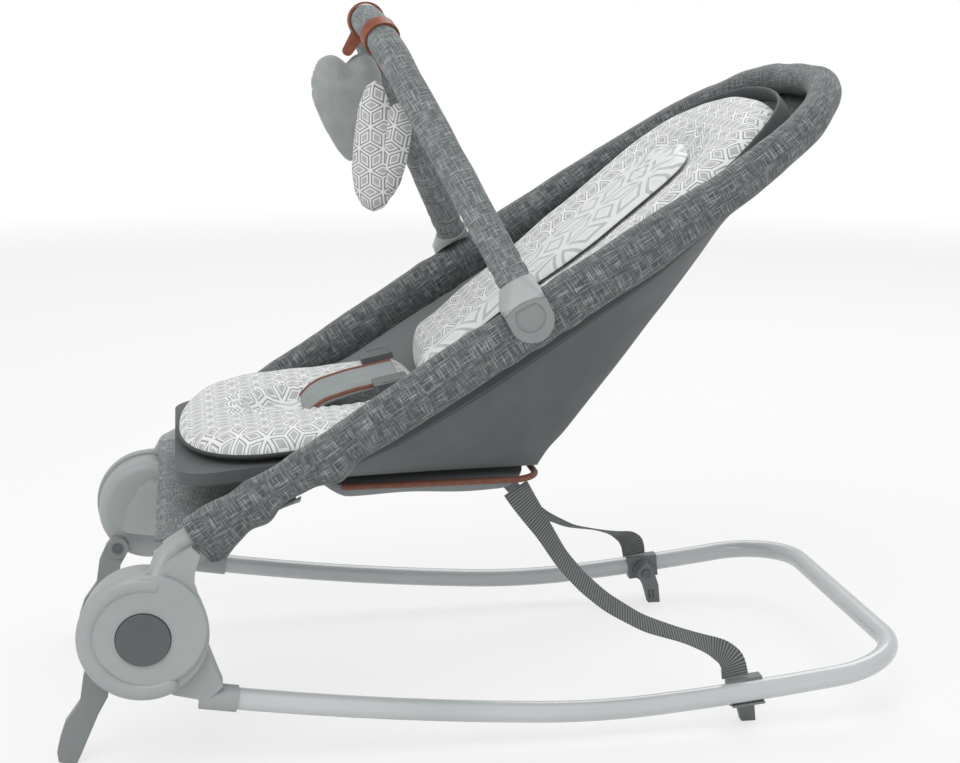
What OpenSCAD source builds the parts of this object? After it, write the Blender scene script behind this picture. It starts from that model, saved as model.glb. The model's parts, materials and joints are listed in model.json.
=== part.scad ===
// Bouncer seat: a fabric hammock on a U-shaped seat tube that folds on two round
// hubs over a rocker frame, with flip-out feet and a toy bar that lifts off.
// While it is modelled the hub axis is at x = 0 and the head end is at +X.

/* [Frame] */
// Outer diameter of the rocker tube and the seat tube
tube_d = 19; // [17:0.5:21]
// Wall of the steel tubes
tube_wall = 1.2; // [1:0.1:2.5]
// Distance from the middle plane to each side tube
rail_y = 188; // [180:1:200]
// Clearance between a tube and what fits round it
tube_fit = 0.1; // [0.05:0.05:0.2]

/* [Rocker] */
// Radius of the middle stretch of each rocker leg
rocker_mid_r = 800; // [600:10:1000]
// Radius of the nearly straight stretches at both ends
rocker_end_r = 3000; // [2500:50:4000]
// Half angle of the middle stretch
rocker_mid_angle = 4; // [3:0.25:5]
// Lowest point of the tube's centre line along the rocker
rocker_low_x = 396; // [380:1:410]
// Height of the tube's centre line at its lowest point
rocker_low_z = 28; // [24:0.5:32]
// Where the front end of the tube sits in the hub
rocker_front_x = 48; // [46:0.5:52]
// Where the rear corner bend starts
rocker_rear_x = 615; // [600:1:630]
// Centre line radius of the rear corner bends
rocker_bend_r = 75; // [60:1:90]

/* [Seat tube] */
// Height of the hub axis above the floor
hub_z = 128; // [124:1:134]
// Slope of the seat tube
recline = 32.2; // [30:0.1:34]
// Offset of the seat tube from the hub axis, square to the tube
rail_v = 41.4; // [40:0.2:44]
// Distance along the slope from the hub axis to the tube's front end
rail_start = 45; // [43:0.5:50]
// Distance along the slope to the start of the head corner
rail_end = 612; // [600:1:625]
// Centre line radius of the head corners
head_corner_r = 155; // [145:1:165]
// Centre line radius of the bowed head tube
head_bow_r = 1150; // [900:10:1400]

/* [Hubs] */
// Radius of the rocker half of each hub
hub_r = 52; // [50:0.5:54]
// Radius of the seat half of each hub
cover_r = 54.5; // [54:0.5:58]
// Where the two halves of a hub meet, from the middle plane
split_y = 200; // [198:0.5:202]
// Depth of the rocker half of a hub
base_depth = 34; // [32:0.5:36]
// Depth of the seat half of a hub
cover_depth = 18; // [17:0.5:20]
// Radius of the raised round face of the cover
hub_face_r = 48.5; // [46:0.5:50]
// Radius of the ridge that runs round the cover
ridge_r = 8.5; // [7:0.25:9]
// Radius of the fold button
button_r = 22.6; // [21:0.2:24]
// Travel of the fold button
button_travel = 4; // [3:0.5:4.5]
// Radius of the hub axle
axle_r = 5; // [4:0.25:6]
// Radial clearance of the axle in its bores
axle_fit = 0.05; // [0.02:0.01:0.1]
// Number of teeth on the lock gear
gear_teeth = 8; // [6:1:12]
// Root radius of the lock gear
gear_root_r = 17; // [16:0.25:17.5]
// Height of the lock gear's teeth
gear_tooth_h = 3; // [2:0.25:3.5]
// Clearance round the lock gear
gear_fit = 0.3; // [0.2:0.05:0.5]

/* [Feet] */
// Radius of the feet's pivot pins
foot_pin_r = 3.5; // [3:0.25:4]
// Radial clearance of the feet on their pins
foot_fit = 0.05; // [0.02:0.01:0.1]
// Thickness of the front feet
front_foot_t = 14; // [12:0.5:16]
// Thickness of the rear feet
rear_foot_t = 9; // [7:0.5:10]
// Place of the rear feet's pivots along the rocker
rear_foot_x = 531; // [525:1:540]

/* [Toy bar] */
// Outer diameter of the toy bar's tube
bar_d = 12; // [10:0.5:14]
// Outer diameter of the toy bar's fabric sleeve
bar_sleeve_d = 29; // [26:0.5:31]
// Radius of the arch of the toy bar
arch_r = 109; // [100:1:116]
// Lean of the toy bar's legs towards the middle
bar_lean = 25; // [22:0.5:27]
// Lean of the whole toy bar towards the foot end
bar_tilt = 26; // [22:0.5:30]
// Distance along the slope from the hub axis to the toy bar's clips
clip_u = 415.4; // [405:1:425]
// Travel of the toy bar out of its clips
bar_travel = 60; // [40:1:80]

/* [Seat] */
// Height of the seat's flat floor
floor_z = 232; // [228:1:236]
// Half the width of the seat's floor
floor_w = 116; // [110:1:120]
// Thickness of the hammock shell with its lining
shell_t = 4; // [3:0.25:5]
// Thickness of the seat pad
pad_t = 24; // [18:1:30]
// Half the width of the seat pad and the back pad
pad_w = 146; // [138:1:148]
// Width of the webbing
webbing_w = 25; // [20:1:30]
// Thickness of the webbing
webbing_t = 1.6; // [1.2:0.1:2]

/* [Hidden] */
$fn = 48;
// Facets of a full circle for the long shallow curves of the tubes
bend_fn = 1440;
// How much fuller a tube is over a seam
seam_grow = 0.05;
// Gap left between soft pieces that touch
seat_gap = 0.4;

tube_r = tube_d / 2;
tube_bore_r = tube_r + tube_fit;
slope_c = cos(recline);
slope_s = sin(recline);

// Rocker leg: a middle arc with a flatter arc tangent to it at each end
rocker_mid_c = [rocker_low_x, rocker_low_z + rocker_mid_r];
rocker_c_front = rocker_end_centre(-1);
rocker_c_rear = rocker_end_centre(1);
rocker_front_a = asin((rocker_front_x - rocker_c_front[0]) / rocker_end_r);
rocker_rear_a = asin((rocker_rear_x - rocker_c_rear[0]) / rocker_end_r);
rocker_rear_z = rocker_z(rocker_rear_x);
rear_tube_x = rocker_rear_x + rocker_bend_r * cos(rocker_rear_a);
rear_tube_z = rocker_rear_z + rocker_bend_r * sin(rocker_rear_a);

// Head of the seat tube: a corner that turns less than 90 degrees, then the bow
head_bow_a = asin((rail_y - head_corner_r) / (head_bow_r - head_corner_r));
head_bow_u = rail_end - (head_bow_r - head_corner_r) * cos(head_bow_a);
head_end_u = head_bow_u + head_bow_r;

// Hub planes, from the middle plane outwards
hub_in_y = split_y - base_depth;
hub_gap = 0.3;
web_y0 = split_y + 4.5;
web_y1 = web_y0 + 2.5;
cover_y = split_y + cover_depth - 2;
ridge_y = split_y + 1 + ridge_r;
ridge_major = cover_r + 0.5 - ridge_r;
boss_y = hub_in_y - 16;
gear_tip_r = gear_root_r + gear_tooth_h;
gear_y0 = split_y - 10;
gear_y1 = split_y + 3;
gear_pocket_y = gear_y0 - button_travel - gear_fit;
spring_y0 = gear_pocket_y - 9;
button_y = split_y + cover_depth + 0.5;

// The parts' common axes
front_foot_pivot = [-34, 93];
front_lug_r = 9;
rear_foot_pivot = [rear_foot_x, rocker_z(rear_foot_x) - 3];
cross_tube_place = [24, 134];
cross_tube_r = 8;
front_foot_y0 = hub_in_y - 0.5 - front_foot_t;
bracket_in_y = rail_y - 18;
rear_foot_y0 = bracket_in_y - 0.3 - rear_foot_t;

// Toy bar: its legs meet the arch as tangents
clip_v = rail_v + 17.6;
clip_x = seat_x(clip_u, clip_v);
clip_z = seat_z(clip_u, clip_v);
bar_foot_y = rail_y - 1;
bar_shift = 4.2;
arch_h = (bar_foot_y - arch_r / cos(bar_lean)) / tan(bar_lean);
bar_leg = (arch_r * tan(bar_lean)) + (arch_h / cos(bar_lean));
bar_r = bar_d / 2;
bar_sleeve_r = bar_sleeve_d / 2;

// The finished part stands with the middle of its footprint at the origin
front_reach = 78;
centre_x = (rear_tube_x + tube_r - front_reach) / 2;

function rocker_end_centre(s) = [rocker_mid_c[0] + s * (rocker_mid_r - rocker_end_r) * sin(rocker_mid_angle),
                                 rocker_mid_c[1] - (rocker_mid_r - rocker_end_r) * cos(rocker_mid_angle)];
function rocker_arc_z(x, c, r) = c[1] - sqrt(r * r - (x - c[0]) * (x - c[0]));
function rocker_z(x) =
    x < rocker_mid_c[0] - rocker_mid_r * sin(rocker_mid_angle) ? rocker_arc_z(x, rocker_c_front, rocker_end_r) :
    x > rocker_mid_c[0] + rocker_mid_r * sin(rocker_mid_angle) ? rocker_arc_z(x, rocker_c_rear, rocker_end_r) :
    rocker_arc_z(x, rocker_mid_c, rocker_mid_r);
function seat_x(u, v) = u * slope_c - v * slope_s;
function seat_z(u, v) = hub_z + u * slope_s + v * slope_c;
function seat_u(x, z) = x * slope_c + (z - hub_z) * slope_s;
function lerp(a, b, t) = a + (b - a) * t;
function clamp01(t) = min(1, max(0, t));
function smooth(t) = let (c = clamp01(t)) c * c * (3 - 2 * c);
function unit(p) = p / norm(p);

module in_frame() { translate([-centre_x, 0, 0]) children(); }
module in_seat() { translate([0, 0, hub_z]) rotate([0, -recline, 0]) children(); }
// The far side is y > 0; the near side is its mirror image
module on_side(s) { mirror([0, s > 0 ? 0 : 1, 0]) children(); }
// A flat outline in x and z, from y0 out to y1
module plate(y0, y1) { translate([0, y1, 0]) rotate([90, 0, 0]) linear_extrude(y1 - y0) children(); }
module disc(r, y0, y1) { translate([0, y1, 0]) rotate([90, 0, 0]) cylinder(r = r, h = y1 - y0); }
// A profile of radius and y turned about the hub axis
module turned() { translate([0, 0, hub_z]) rotate([-90, 0, 0]) rotate_extrude($fn = 96) children(); }
module at_hub() { translate([0, 0, hub_z]) children(); }
// Carries a section along an arc in the x z plane; angles run from straight down
module arc_xz(c, r, a0, a1) {
    translate([c[0], 0, c[1]]) rotate([90, 0, 0]) rotate([0, 0, a0 - 90])
        rotate_extrude(angle = a1 - a0, $fn = bend_fn) translate([r, 0]) children();
}
// Carries a section straight along Y from y0 down to -y0
module along_y(y0) { translate([0, y0, 0]) rotate([90, 0, 0]) linear_extrude(2 * y0) children(); }
// Short band of a slightly fuller section over the seam of two stretches
module seam() { rotate([90, 0, 0]) linear_extrude(1, center = true) children(); }
module seam_xz(c, r, a) { translate([c[0], 0, c[1]]) rotate([90, 0, 0]) rotate([0, 0, a - 90]) translate([r, 0, 0]) seam() children(); }
module ring(ro, ri) {
    difference() {
        circle(ro, $fn = 48);
        circle(ri, $fn = 48);
    }
}
module tube_section(grow = 0) { ring(tube_r + grow, tube_r - tube_wall - grow); }
// Closed solid through a list of rings of points, all with the same even count
// and each listed so that point i lies opposite point n - 1 - i
module loft(rings) {
    n = len(rings[0]);
    m = len(rings);
    polyhedron(
        points = [for (r = rings) for (p = r) p],
        faces = concat(
            [for (i = [0:floor(n / 2) - 2]) [i, i + 1, n - 1 - i]],
            [for (i = [0:floor(n / 2) - 2]) [i + 1, n - 2 - i, n - 1 - i]],
            [for (j = [0:m - 2]) for (i = [0:n - 1]) [j * n + i, (j + 1) * n + i, (j + 1) * n + (i + 1) % n]],
            [for (j = [0:m - 2]) for (i = [0:n - 1]) [j * n + i, (j + 1) * n + (i + 1) % n, j * n + (i + 1) % n]],
            [for (i = [0:floor(n / 2) - 2]) [(m - 1) * n + i + 1, (m - 1) * n + i, (m - 1) * n + n - 1 - i]],
            [for (i = [0:floor(n / 2) - 2])
                [(m - 1) * n + n - 2 - i, (m - 1) * n + i + 1, (m - 1) * n + n - 1 - i]]));
}

// ---- Rocker frame ----

module rocker_leg() {
    translate([0, rail_y, 0]) {
        arc_xz(rocker_c_front, rocker_end_r, rocker_front_a, -rocker_mid_angle) tube_section();
        seam_xz(rocker_mid_c, rocker_mid_r, -rocker_mid_angle) tube_section(seam_grow);
        arc_xz(rocker_mid_c, rocker_mid_r, -rocker_mid_angle, rocker_mid_angle) tube_section();
        seam_xz(rocker_mid_c, rocker_mid_r, rocker_mid_angle) tube_section(seam_grow);
        arc_xz(rocker_c_rear, rocker_end_r, rocker_mid_angle, rocker_rear_a) tube_section();
        seam_xz(rocker_c_rear, rocker_end_r, rocker_rear_a) tube_section(seam_grow);
        translate([rocker_rear_x, 0, rocker_rear_z]) rotate([0, -rocker_rear_a, 0])
            translate([0, -rocker_bend_r, 0]) {
                rotate_extrude(angle = 90, $fn = 96) translate([rocker_bend_r, 0]) tube_section();
                translate([rocker_bend_r, 0, 0]) seam() tube_section(seam_grow);
            }
    }
}

module rocker_tube() {
    color("#c5cccd") in_frame() {
        for (s = [-1, 1]) on_side(s) rocker_leg();
        translate([rear_tube_x, 0, rear_tube_z]) along_y(rail_y - rocker_bend_r) tube_section();
    }
}

// Outline of the arm that carries the rocker tube's socket
module socket_arm() {
    polygon([[0, hub_z], [10, hub_z - hub_r + 2], [24, 71], [45.5, 65.5], [46.5, 61],
             [64.5, 76], [62, 82.5], [55.8, 101], [52.8, 110], [46, hub_z]]);
}

// Outline of the boss on the inner face, which holds the cross tube
module boss_outline() {
    offset(r = 5) offset(delta = -5)
        polygon([[-29, 114], [-23, 136], [-9, 156], [3, 163], [14, 161], [44, 145],
                 [46, 118], [30, 108], [4, 106], [-22, 110]]);
}

// Toothed outline of the lock gear, grown by a clearance
module gear_outline(grow) {
    circle(gear_root_r + grow);
    tooth_w = PI * gear_tip_r / gear_teeth;
    for (i = [0:gear_teeth - 1]) rotate(i * 360 / gear_teeth)
        translate([0, -tooth_w / 2 - grow]) square([gear_tip_r + grow, tooth_w + 2 * grow]);
}

module hub_base(s) {
    fillet = 10;
    color("#9a9f9f") in_frame() on_side(s) difference() {
        union() {
            turned() union() {
                translate([0, hub_in_y]) square([hub_r - fillet, base_depth - hub_gap]);
                translate([0, hub_in_y + fillet]) square([hub_r, base_depth - hub_gap - fillet]);
                translate([hub_r - fillet, hub_in_y + fillet]) circle(fillet);
            }
            plate(hub_in_y + 10, split_y - hub_gap) socket_arm();
            translate([0, rail_y, 0])
                arc_xz(rocker_c_front, rocker_end_r, rocker_front_a - 0.06, rocker_front_a + 0.55)
                    circle(tube_r + 2.1, $fn = 48);
            plate(boss_y, hub_in_y + 1) boss_outline();
            // Lug of the front foot's pin
            translate([front_foot_pivot[0], 0, front_foot_pivot[1]]) disc(front_lug_r, hub_in_y, hub_in_y + 16);
        }
        // Socket of the rocker tube
        translate([0, rail_y, 0])
            arc_xz(rocker_c_front, rocker_end_r, rocker_front_a, rocker_front_a + 1)
                circle(tube_bore_r, $fn = 48);
        // Pocket of the lock gear and of the spring behind it
        at_hub() plate(gear_pocket_y, split_y) gear_outline(gear_fit);
        at_hub() disc(12, spring_y0, gear_pocket_y + 1);
        // Bore of the axle
        at_hub() disc(axle_r, spring_y0 - 8, spring_y0 + 1);
        // Socket of the cross tube
        translate([cross_tube_place[0], 0, cross_tube_place[1]])
            disc(cross_tube_r + tube_fit, boss_y - 1, hub_in_y - 2);
        // Bore of the front foot's pin
        translate([front_foot_pivot[0], 0, front_foot_pivot[1]]) disc(foot_pin_r, hub_in_y - 1, hub_in_y + 14);
        // Finger slot in the flank of the boss
        translate([-16, 0, 137]) rotate([0, 26, 0]) translate([-14, boss_y + 5, -13]) cube([15, 3.4, 26]);
    }
}

module front_cross_tube() {
    reach = hub_in_y - 2.3;
    color("#8e9494") in_frame() translate([cross_tube_place[0], reach, cross_tube_place[1]]) rotate([90, 0, 0])
        difference() {
            cylinder(r = cross_tube_r, h = 2 * reach);
            translate([0, 0, -1]) cylinder(r = cross_tube_r - 1.2, h = 2 * reach + 2);
        }
}

module hub_axle(s) {
    color("#b9bdbd") in_frame() on_side(s) at_hub() {
        disc(axle_r, spring_y0 - 8, web_y1 + 0.2);
        disc(axle_r + 3, web_y1 + 0.2, web_y1 + 2);
    }
}

module lock_gear(s) {
    color("#46494a") in_frame() on_side(s) at_hub() difference() {
        plate(gear_y0, gear_y1) gear_outline(0);
        disc(axle_r + gear_fit, gear_y0 - 1, gear_y1 + 1);
        disc(11, gear_y0 - 1, gear_y0 + 2);
    }
}

// Compression spring between the hub's floor and the lock gear
module lock_spring(s) {
    turns = 3;
    wire_r = 0.7;
    coil_r = 8.5;
    steps = 16;
    y0 = spring_y0 + wire_r;
    y1 = gear_y0 + 2 - wire_r;
    color("#a9adad") in_frame() on_side(s) at_hub()
        loft([for (k = [0:turns * steps])
            let (a = k * 360 / steps, y = lerp(y0, y1, k / (turns * steps)))
            [for (i = [0:5]) let (b = -i * 60, r = coil_r + wire_r * cos(b))
                [r * cos(a), y + wire_r * sin(b), r * sin(a)]]]);
}

// ---- Seat half of the hubs ----

// Round boss with a rounded outer edge, as a profile of radius and y
module round_face_profile(r, y0, y1, edge) {
    translate([0, y0]) square([r, y1 - y0 - edge]);
    translate([0, y0]) square([r - edge, y1 - y0]);
    translate([r - edge, y1 - edge]) circle(edge);
}

module cover_ridge() {
    start = 110 - recline;
    end = 294;
    // The ridge is open at the right: it ends in a round nose at the rocker arm
    at_hub() translate([0, ridge_y, 0]) rotate([90, 0, 0]) {
        rotate([0, 0, start]) rotate_extrude(angle = end - start, $fn = 96)
            translate([ridge_major, 0]) circle(ridge_r);
        rotate([0, 0, end]) translate([ridge_major, 0, 0]) sphere(ridge_r + seam_grow);
    }
}

// Arm that swells from the ridge into the socket of the seat tube
module cover_arm() {
    socket_r = tube_r + 3;
    start_a = 110 - recline - recline;
    p0 = [ridge_major * cos(start_a), ridge_y, ridge_major * sin(start_a)];
    in_seat() {
        hull() {
            translate(p0) sphere(ridge_r, $fn = 24);
            translate([52, rail_y + 9, rail_v + 1.5]) sphere(ridge_r + 2.2, $fn = 24);
        }
        hull() {
            translate([52, rail_y + 9, rail_v + 1.5]) sphere(ridge_r + 2.2, $fn = 24);
            translate([68, rail_y, rail_v]) rotate([0, 90, 0]) cylinder(r = socket_r, h = 1, $fn = 32);
        }
        translate([56, rail_y, rail_v]) rotate([0, 90, 0]) cylinder(r = socket_r, h = 24);
    }
}

module cover_web() {
    in_seat() plate(split_y + 3, split_y + 11)
        polygon([[0, ridge_major], [76, rail_v], [78, 32], [67, 23], [60, 14], [57, 4], [50, -6], [0, 0]]);
}

module hub_cover(s) {
    legs = 3;
    color("#9a9f9f") in_frame() on_side(s) difference() {
        union() {
            turned() round_face_profile(cover_r, split_y, split_y + 11, 3);
            translate([4.9, 0, 6.5]) turned() round_face_profile(hub_face_r, split_y + 5, cover_y, 3);
            cover_ridge();
            cover_arm();
            cover_web();
        }
        // Room for the rocker half and for the rails' side of the hub
        at_hub() disc(hub_r + 0.6, hub_in_y - 30, split_y);
        // Socket of the seat tube
        in_seat() translate([rail_start, rail_y, rail_v]) rotate([0, 90, 0]) cylinder(r = tube_bore_r, h = 60);
        // Well of the button, pocket of the gear and bore of the axle
        at_hub() disc(button_r + 0.6, web_y1, button_y + 2);
        at_hub() disc(gear_tip_r + 1.5, split_y - 1, web_y0);
        at_hub() disc(axle_r + axle_fit, web_y0 - 1, web_y1 + 1);
        // Windows for the button's legs
        at_hub() for (i = [0:legs - 1]) rotate([0, i * 360 / legs, 0])
            translate([9.5, web_y0 - 1, -4]) cube([6, web_y1 - web_y0 + 2, 8]);
    }
}

module hub_button(s) {
    legs = 3;
    skirt = 6;
    color("#5a5e5f") in_frame() on_side(s) difference() {
        union() {
            turned() round_face_profile(button_r, button_y - skirt, button_y, 1);
            at_hub() for (i = [0:legs - 1]) rotate([0, i * 360 / legs, 0])
                translate([10.2, gear_y1, -3.3]) cube([4.6, button_y - gear_y1 - 1.5, 6.6]);
        }
        at_hub() difference() {
            disc(button_r - 2, button_y - skirt - 1, button_y - 2);
            for (i = [0:legs - 1]) rotate([0, i * 360 / legs, 0])
                translate([10.2, gear_y1, -3.3]) cube([4.6, button_y - gear_y1, 6.6]);
        }
    }
}

// ---- Feet ----

module front_foot(s) {
    p = front_foot_pivot;
    y0 = front_foot_y0;
    y1 = hub_in_y - 0.5;
    color("#8e9494") in_frame() on_side(s) difference() {
        union() {
            plate(y0 + 4, y1) polygon([[-24, 88], [-33, 104], [-45, 97], [-53, 80], [-57, 56], [-70, 38], [-75, 24],
                                       [-78, 12], [-77, 3], [-70, 0], [-62, 0], [-58, 8], [-50, 26], [-42, 44],
                                       [-33, 60], [-32, 74]]);
            // Raised triangular facet of the toe
            plate(y0, y1) polygon([[-55, 52], [-70, 37], [-76, 16], [-72, 1], [-63, 1], [-55, 20]]);
            translate([p[0], 0, p[1]]) disc(11, y0 + 2, y1);
        }
        translate([p[0], 0, p[1]]) disc(foot_pin_r + foot_fit, y0 - 1, y1 + 1);
        // Two grip slots in the toe
        for (k = [0, 1]) translate([-68 + 5 * k, y0 - 1, 14]) rotate([0, 24, 0]) cube([2, 4, 15]);
    }
}

// Plastic saddle on the inner side of the rocker tube, with a slot for the strap
module rear_foot_bracket(s) {
    a = asin((rear_foot_x - rocker_c_rear[0]) / rocker_end_r);
    half_a = 16 / rocker_end_r * 180 / PI;
    p = rear_foot_pivot;
    color("#7b7f80") in_frame() on_side(s) difference() {
        union() {
            translate([0, rail_y, 0]) arc_xz(rocker_c_rear, rocker_end_r, a - half_a, a + half_a) difference() {
                square([2 * tube_r + 5, 2 * tube_r + 5], center = true);
                // Open at the outer side of the tube
                translate([-tube_r - 5, -tube_r - 9]) square([2 * tube_r + 10, tube_r + 9.5]);
            }
            translate([0, bracket_in_y + 7, p[1]]) translate([p[0], 0, 0]) disc(11, -7, 2);
            // Thin flange under the tube
            translate([rear_foot_x - 14, rail_y - 9, p[1] - 9.6]) rotate([0, -a, 0]) cube([30, 16, 2]);
        }
        translate([0, rail_y, 0]) arc_xz(rocker_c_rear, rocker_end_r, a - 2 * half_a, a + 2 * half_a)
            circle(tube_bore_r, $fn = 48);
        translate([p[0], 0, p[1]]) disc(foot_pin_r, bracket_in_y - 1, rail_y - tube_r);
    }
}

module rear_foot(s) {
    p = rear_foot_pivot;
    y0 = rear_foot_y0;
    y1 = bracket_in_y - 0.3;
    color("#7b7f80") in_frame() on_side(s) difference() {
        union() {
            translate([p[0], 0, p[1]]) disc(9, y0, y1);
            plate(y0, y1) polygon([[p[0] - 8.5, p[1] - 2], [p[0] + 8.5, p[1] + 3], [p[0] + 14, p[1] - 14],
                                   [p[0] + 16, 0], [p[0] + 3, 0], [p[0] - 2, p[1] - 16]]);
        }
        translate([p[0], 0, p[1]]) disc(foot_pin_r + foot_fit, y0 - 1, y1 + 1);
        for (k = [0, 1]) translate([p[0] + 4 + 4 * k, y0 - 1, 5]) rotate([0, -10, 0]) cube([1.4, 3, 10]);
    }
}

// Steel pins that carry the four feet
module foot_rivets() {
    color("#c9cccc") in_frame() for (s = [-1, 1]) on_side(s) {
        translate([front_foot_pivot[0], 0, front_foot_pivot[1]]) {
            disc(foot_pin_r, front_foot_y0 + 1, hub_in_y + 12);
            disc(foot_pin_r + 2, front_foot_y0 + 0.2, front_foot_y0 + 1.7);
        }
        translate([rear_foot_pivot[0], 0, rear_foot_pivot[1]]) {
            disc(foot_pin_r, rear_foot_y0 - 1, bracket_in_y + 6);
            disc(foot_pin_r + 1.5, rear_foot_y0 - 2, rear_foot_y0 - 0.3);
        }
    }
}

// ---- Webbing between the seat and the rocker ----

// Stations of the strap: x, z, and how far its width has turned from upright
strap_route = [[332, 215, 4], [340, 202, 22], [356, 178, 45], [372, 151, 53], [390, 130, 56],
               [411, 112, 60], [443, 94, 68], [476, 85, 76], [497, 78, 66], [512, 71, 38],
               [520, 62.5, 12], [522, 48.8, 0]];
strap_y0 = 113.4;
strap_y1 = rail_y - 6.5;
function strap_point(i) = let (r = strap_route[i], n = len(strap_route) - 1)
    [r[0], lerp(strap_y0, strap_y1, (r[0] - strap_route[0][0]) / (strap_route[n][0] - strap_route[0][0])), r[1]];
function strap_tangent(i) = unit(strap_point(min(i + 1, len(strap_route) - 1)) - strap_point(max(i - 1, 0)));
function strap_ring(i) =
    let (p = strap_point(i), t = strap_tangent(i), turn = strap_route[i][2],
         across = unit([-t[2], 0, t[0]]), w = unit(across * cos(turn) + [0, -1, 0] * sin(turn)),
         n = unit(cross(t, w)), a = w * webbing_w / 2, b = n * webbing_t / 2)
    [p - a - b, p + a - b, p + a + b, p - a + b];

module base_strap(s) {
    color("#4d5152") in_frame() on_side(s) loft([for (i = [0:len(strap_route) - 1]) strap_ring(i)]);
}

// ---- Seat tube and fabric ----

// Carries a section of side offset and height round the U of the seat tube.
// The second child is the fuller section that covers the seams.
module along_seat_tube(u0) {
    in_seat() translate([0, 0, rail_v]) {
        for (s = [-1, 1]) on_side(s) {
            translate([u0, rail_y, 0]) rotate([90, 0, 90]) linear_extrude(rail_end - u0) children(0);
            translate([rail_end, rail_y, 0]) rotate([0, 0, 90]) seam() children(1);
            translate([rail_end, rail_y - head_corner_r, 0]) rotate([0, 0, head_bow_a]) {
                rotate_extrude(angle = 90 - head_bow_a, $fn = 144) translate([head_corner_r, 0]) children(0);
                translate([head_corner_r, 0, 0]) seam() children(1);
            }
        }
        translate([head_bow_u, 0, 0]) rotate([0, 0, -head_bow_a])
            rotate_extrude(angle = 2 * head_bow_a, $fn = bend_fn) translate([head_bow_r, 0]) children(0);
    }
}

module seat_tube() {
    color("#c5cccd") in_frame() along_seat_tube(rail_start) {
        tube_section();
        tube_section(seam_grow);
    }
}

// Padded roll of fabric round the seat tube, with its hem hanging inside the rail
sleeve_r = tube_r + 3.1;
sleeve_start = 81;
sleeve_drop = 29;
clip_half = 18;
// Along the slope: where the shell starts and ends, where its level floor ends and where its back meets the rim
shell_start_u = 190;
shell_end_u = head_end_u - 4;
floor_end_u = 355;
back_top_u = 677;
// Depth of the hem below the tube's centre line, at distances along the slope
hem_line = [[sleeve_start - 1, 19], [shell_start_u, 19], [floor_end_u, sleeve_drop], [rail_end, 26],
            [head_end_u + sleeve_r + 1, 11]];
module sleeve_section(grow = 0) {
    top_r = sleeve_r + grow;
    low_r = 10 + grow;
    low = 10 - sleeve_drop;
    difference() {
        polygon(concat([for (a = [0:15:180]) [top_r * cos(a), top_r * sin(a)]],
                       [[-low_r - 0.6, -6], [-low_r, -12]],
                       [for (a = [180:20:360]) [low_r * cos(a), low + low_r * sin(a)]],
                       [[low_r, -12], [low_r + 0.6, -6]]));
        circle(tube_r + 0.3 - grow, $fn = 48);
    }
}

module seat_sleeve() {
    color("#63696a") in_frame() difference() {
        along_seat_tube(sleeve_start) {
            sleeve_section();
            sleeve_section(seam_grow);
        }
        // The hem is short at the foot end and at the head
        in_seat() plate(-rail_y - 2 * sleeve_r, rail_y + 2 * sleeve_r)
            polygon(concat([for (p = hem_line) [p[0], rail_v - p[1]]],
                           [[head_end_u + sleeve_r + 1, -sleeve_drop], [sleeve_start - 1, -sleeve_drop]]));
        // Gaps for the toy bar's clips
        for (s = [-1, 1]) on_side(s) in_seat() translate([clip_u - clip_half - 3.5, rail_y, rail_v])
            rotate([0, 90, 0]) cylinder(r = sleeve_r + 1, h = 2 * clip_half + 7);
    }
}

// Fabric skirt stretched between the rails at the foot end
apron_front_x = 12;
apron_rear_x = 135;
function apron_z(x, y) =
    let (t = (x - apron_front_x) / (apron_rear_x - apron_front_x), side = seat_z((x + 12) / slope_c, 22),
         mid = lerp(200, 208, t), f = pow(abs(y) / rail_y, 4))
    lerp(mid, min(side, mid + 40), f * smooth(t * 1.4));
function apron_w(x) = lerp(rail_y - 13.5, rail_y - 10 - seat_gap, smooth((x - 46) / 14));
module front_apron() {
    cols = 14;
    rows = 8;
    t = 2;
    color("#6b6f70") in_frame() loft([for (j = [0:rows])
        let (x = lerp(apron_front_x, apron_rear_x, j / rows), w = apron_w(x))
        concat([for (i = [0:cols]) let (y = lerp(-w, w, i / cols)) [x, y, apron_z(x, y)]],
               [for (i = [cols:-1:0]) let (y = lerp(-w, w, i / cols)) [x, y, apron_z(x, y) + t]])]);
}

// Hammock shell. Each section is square to the rails: a wall falls from the
// rim under each rail to the floor, which is level at the front and then rises.
function shell_rim_v(u) = rail_v - lookup(u, hem_line) - seat_gap;
function floor_level_v(u) = (floor_z - hub_z - u * slope_s) / slope_c;
function shell_v(u) =
    u < floor_end_u ? floor_level_v(u) :
    lerp(floor_level_v(floor_end_u), shell_rim_v(u) - 3, smooth_back((u - floor_end_u) / (back_top_u - floor_end_u)));
function smooth_back(t) = let (c = clamp01(t)) c < 0.85 ? c * 1.03 : lerp(0.8755, 1, smooth((c - 0.85) / 0.15));
function shell_rim_y(u) =
    u < rail_end ? rail_y :
    u < rail_end + head_corner_r * cos(head_bow_a) ?
        rail_y - head_corner_r + sqrt(head_corner_r * head_corner_r - (u - rail_end) * (u - rail_end)) :
        sqrt(head_bow_r * head_bow_r - (u - head_bow_u) * (u - head_bow_u));
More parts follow.
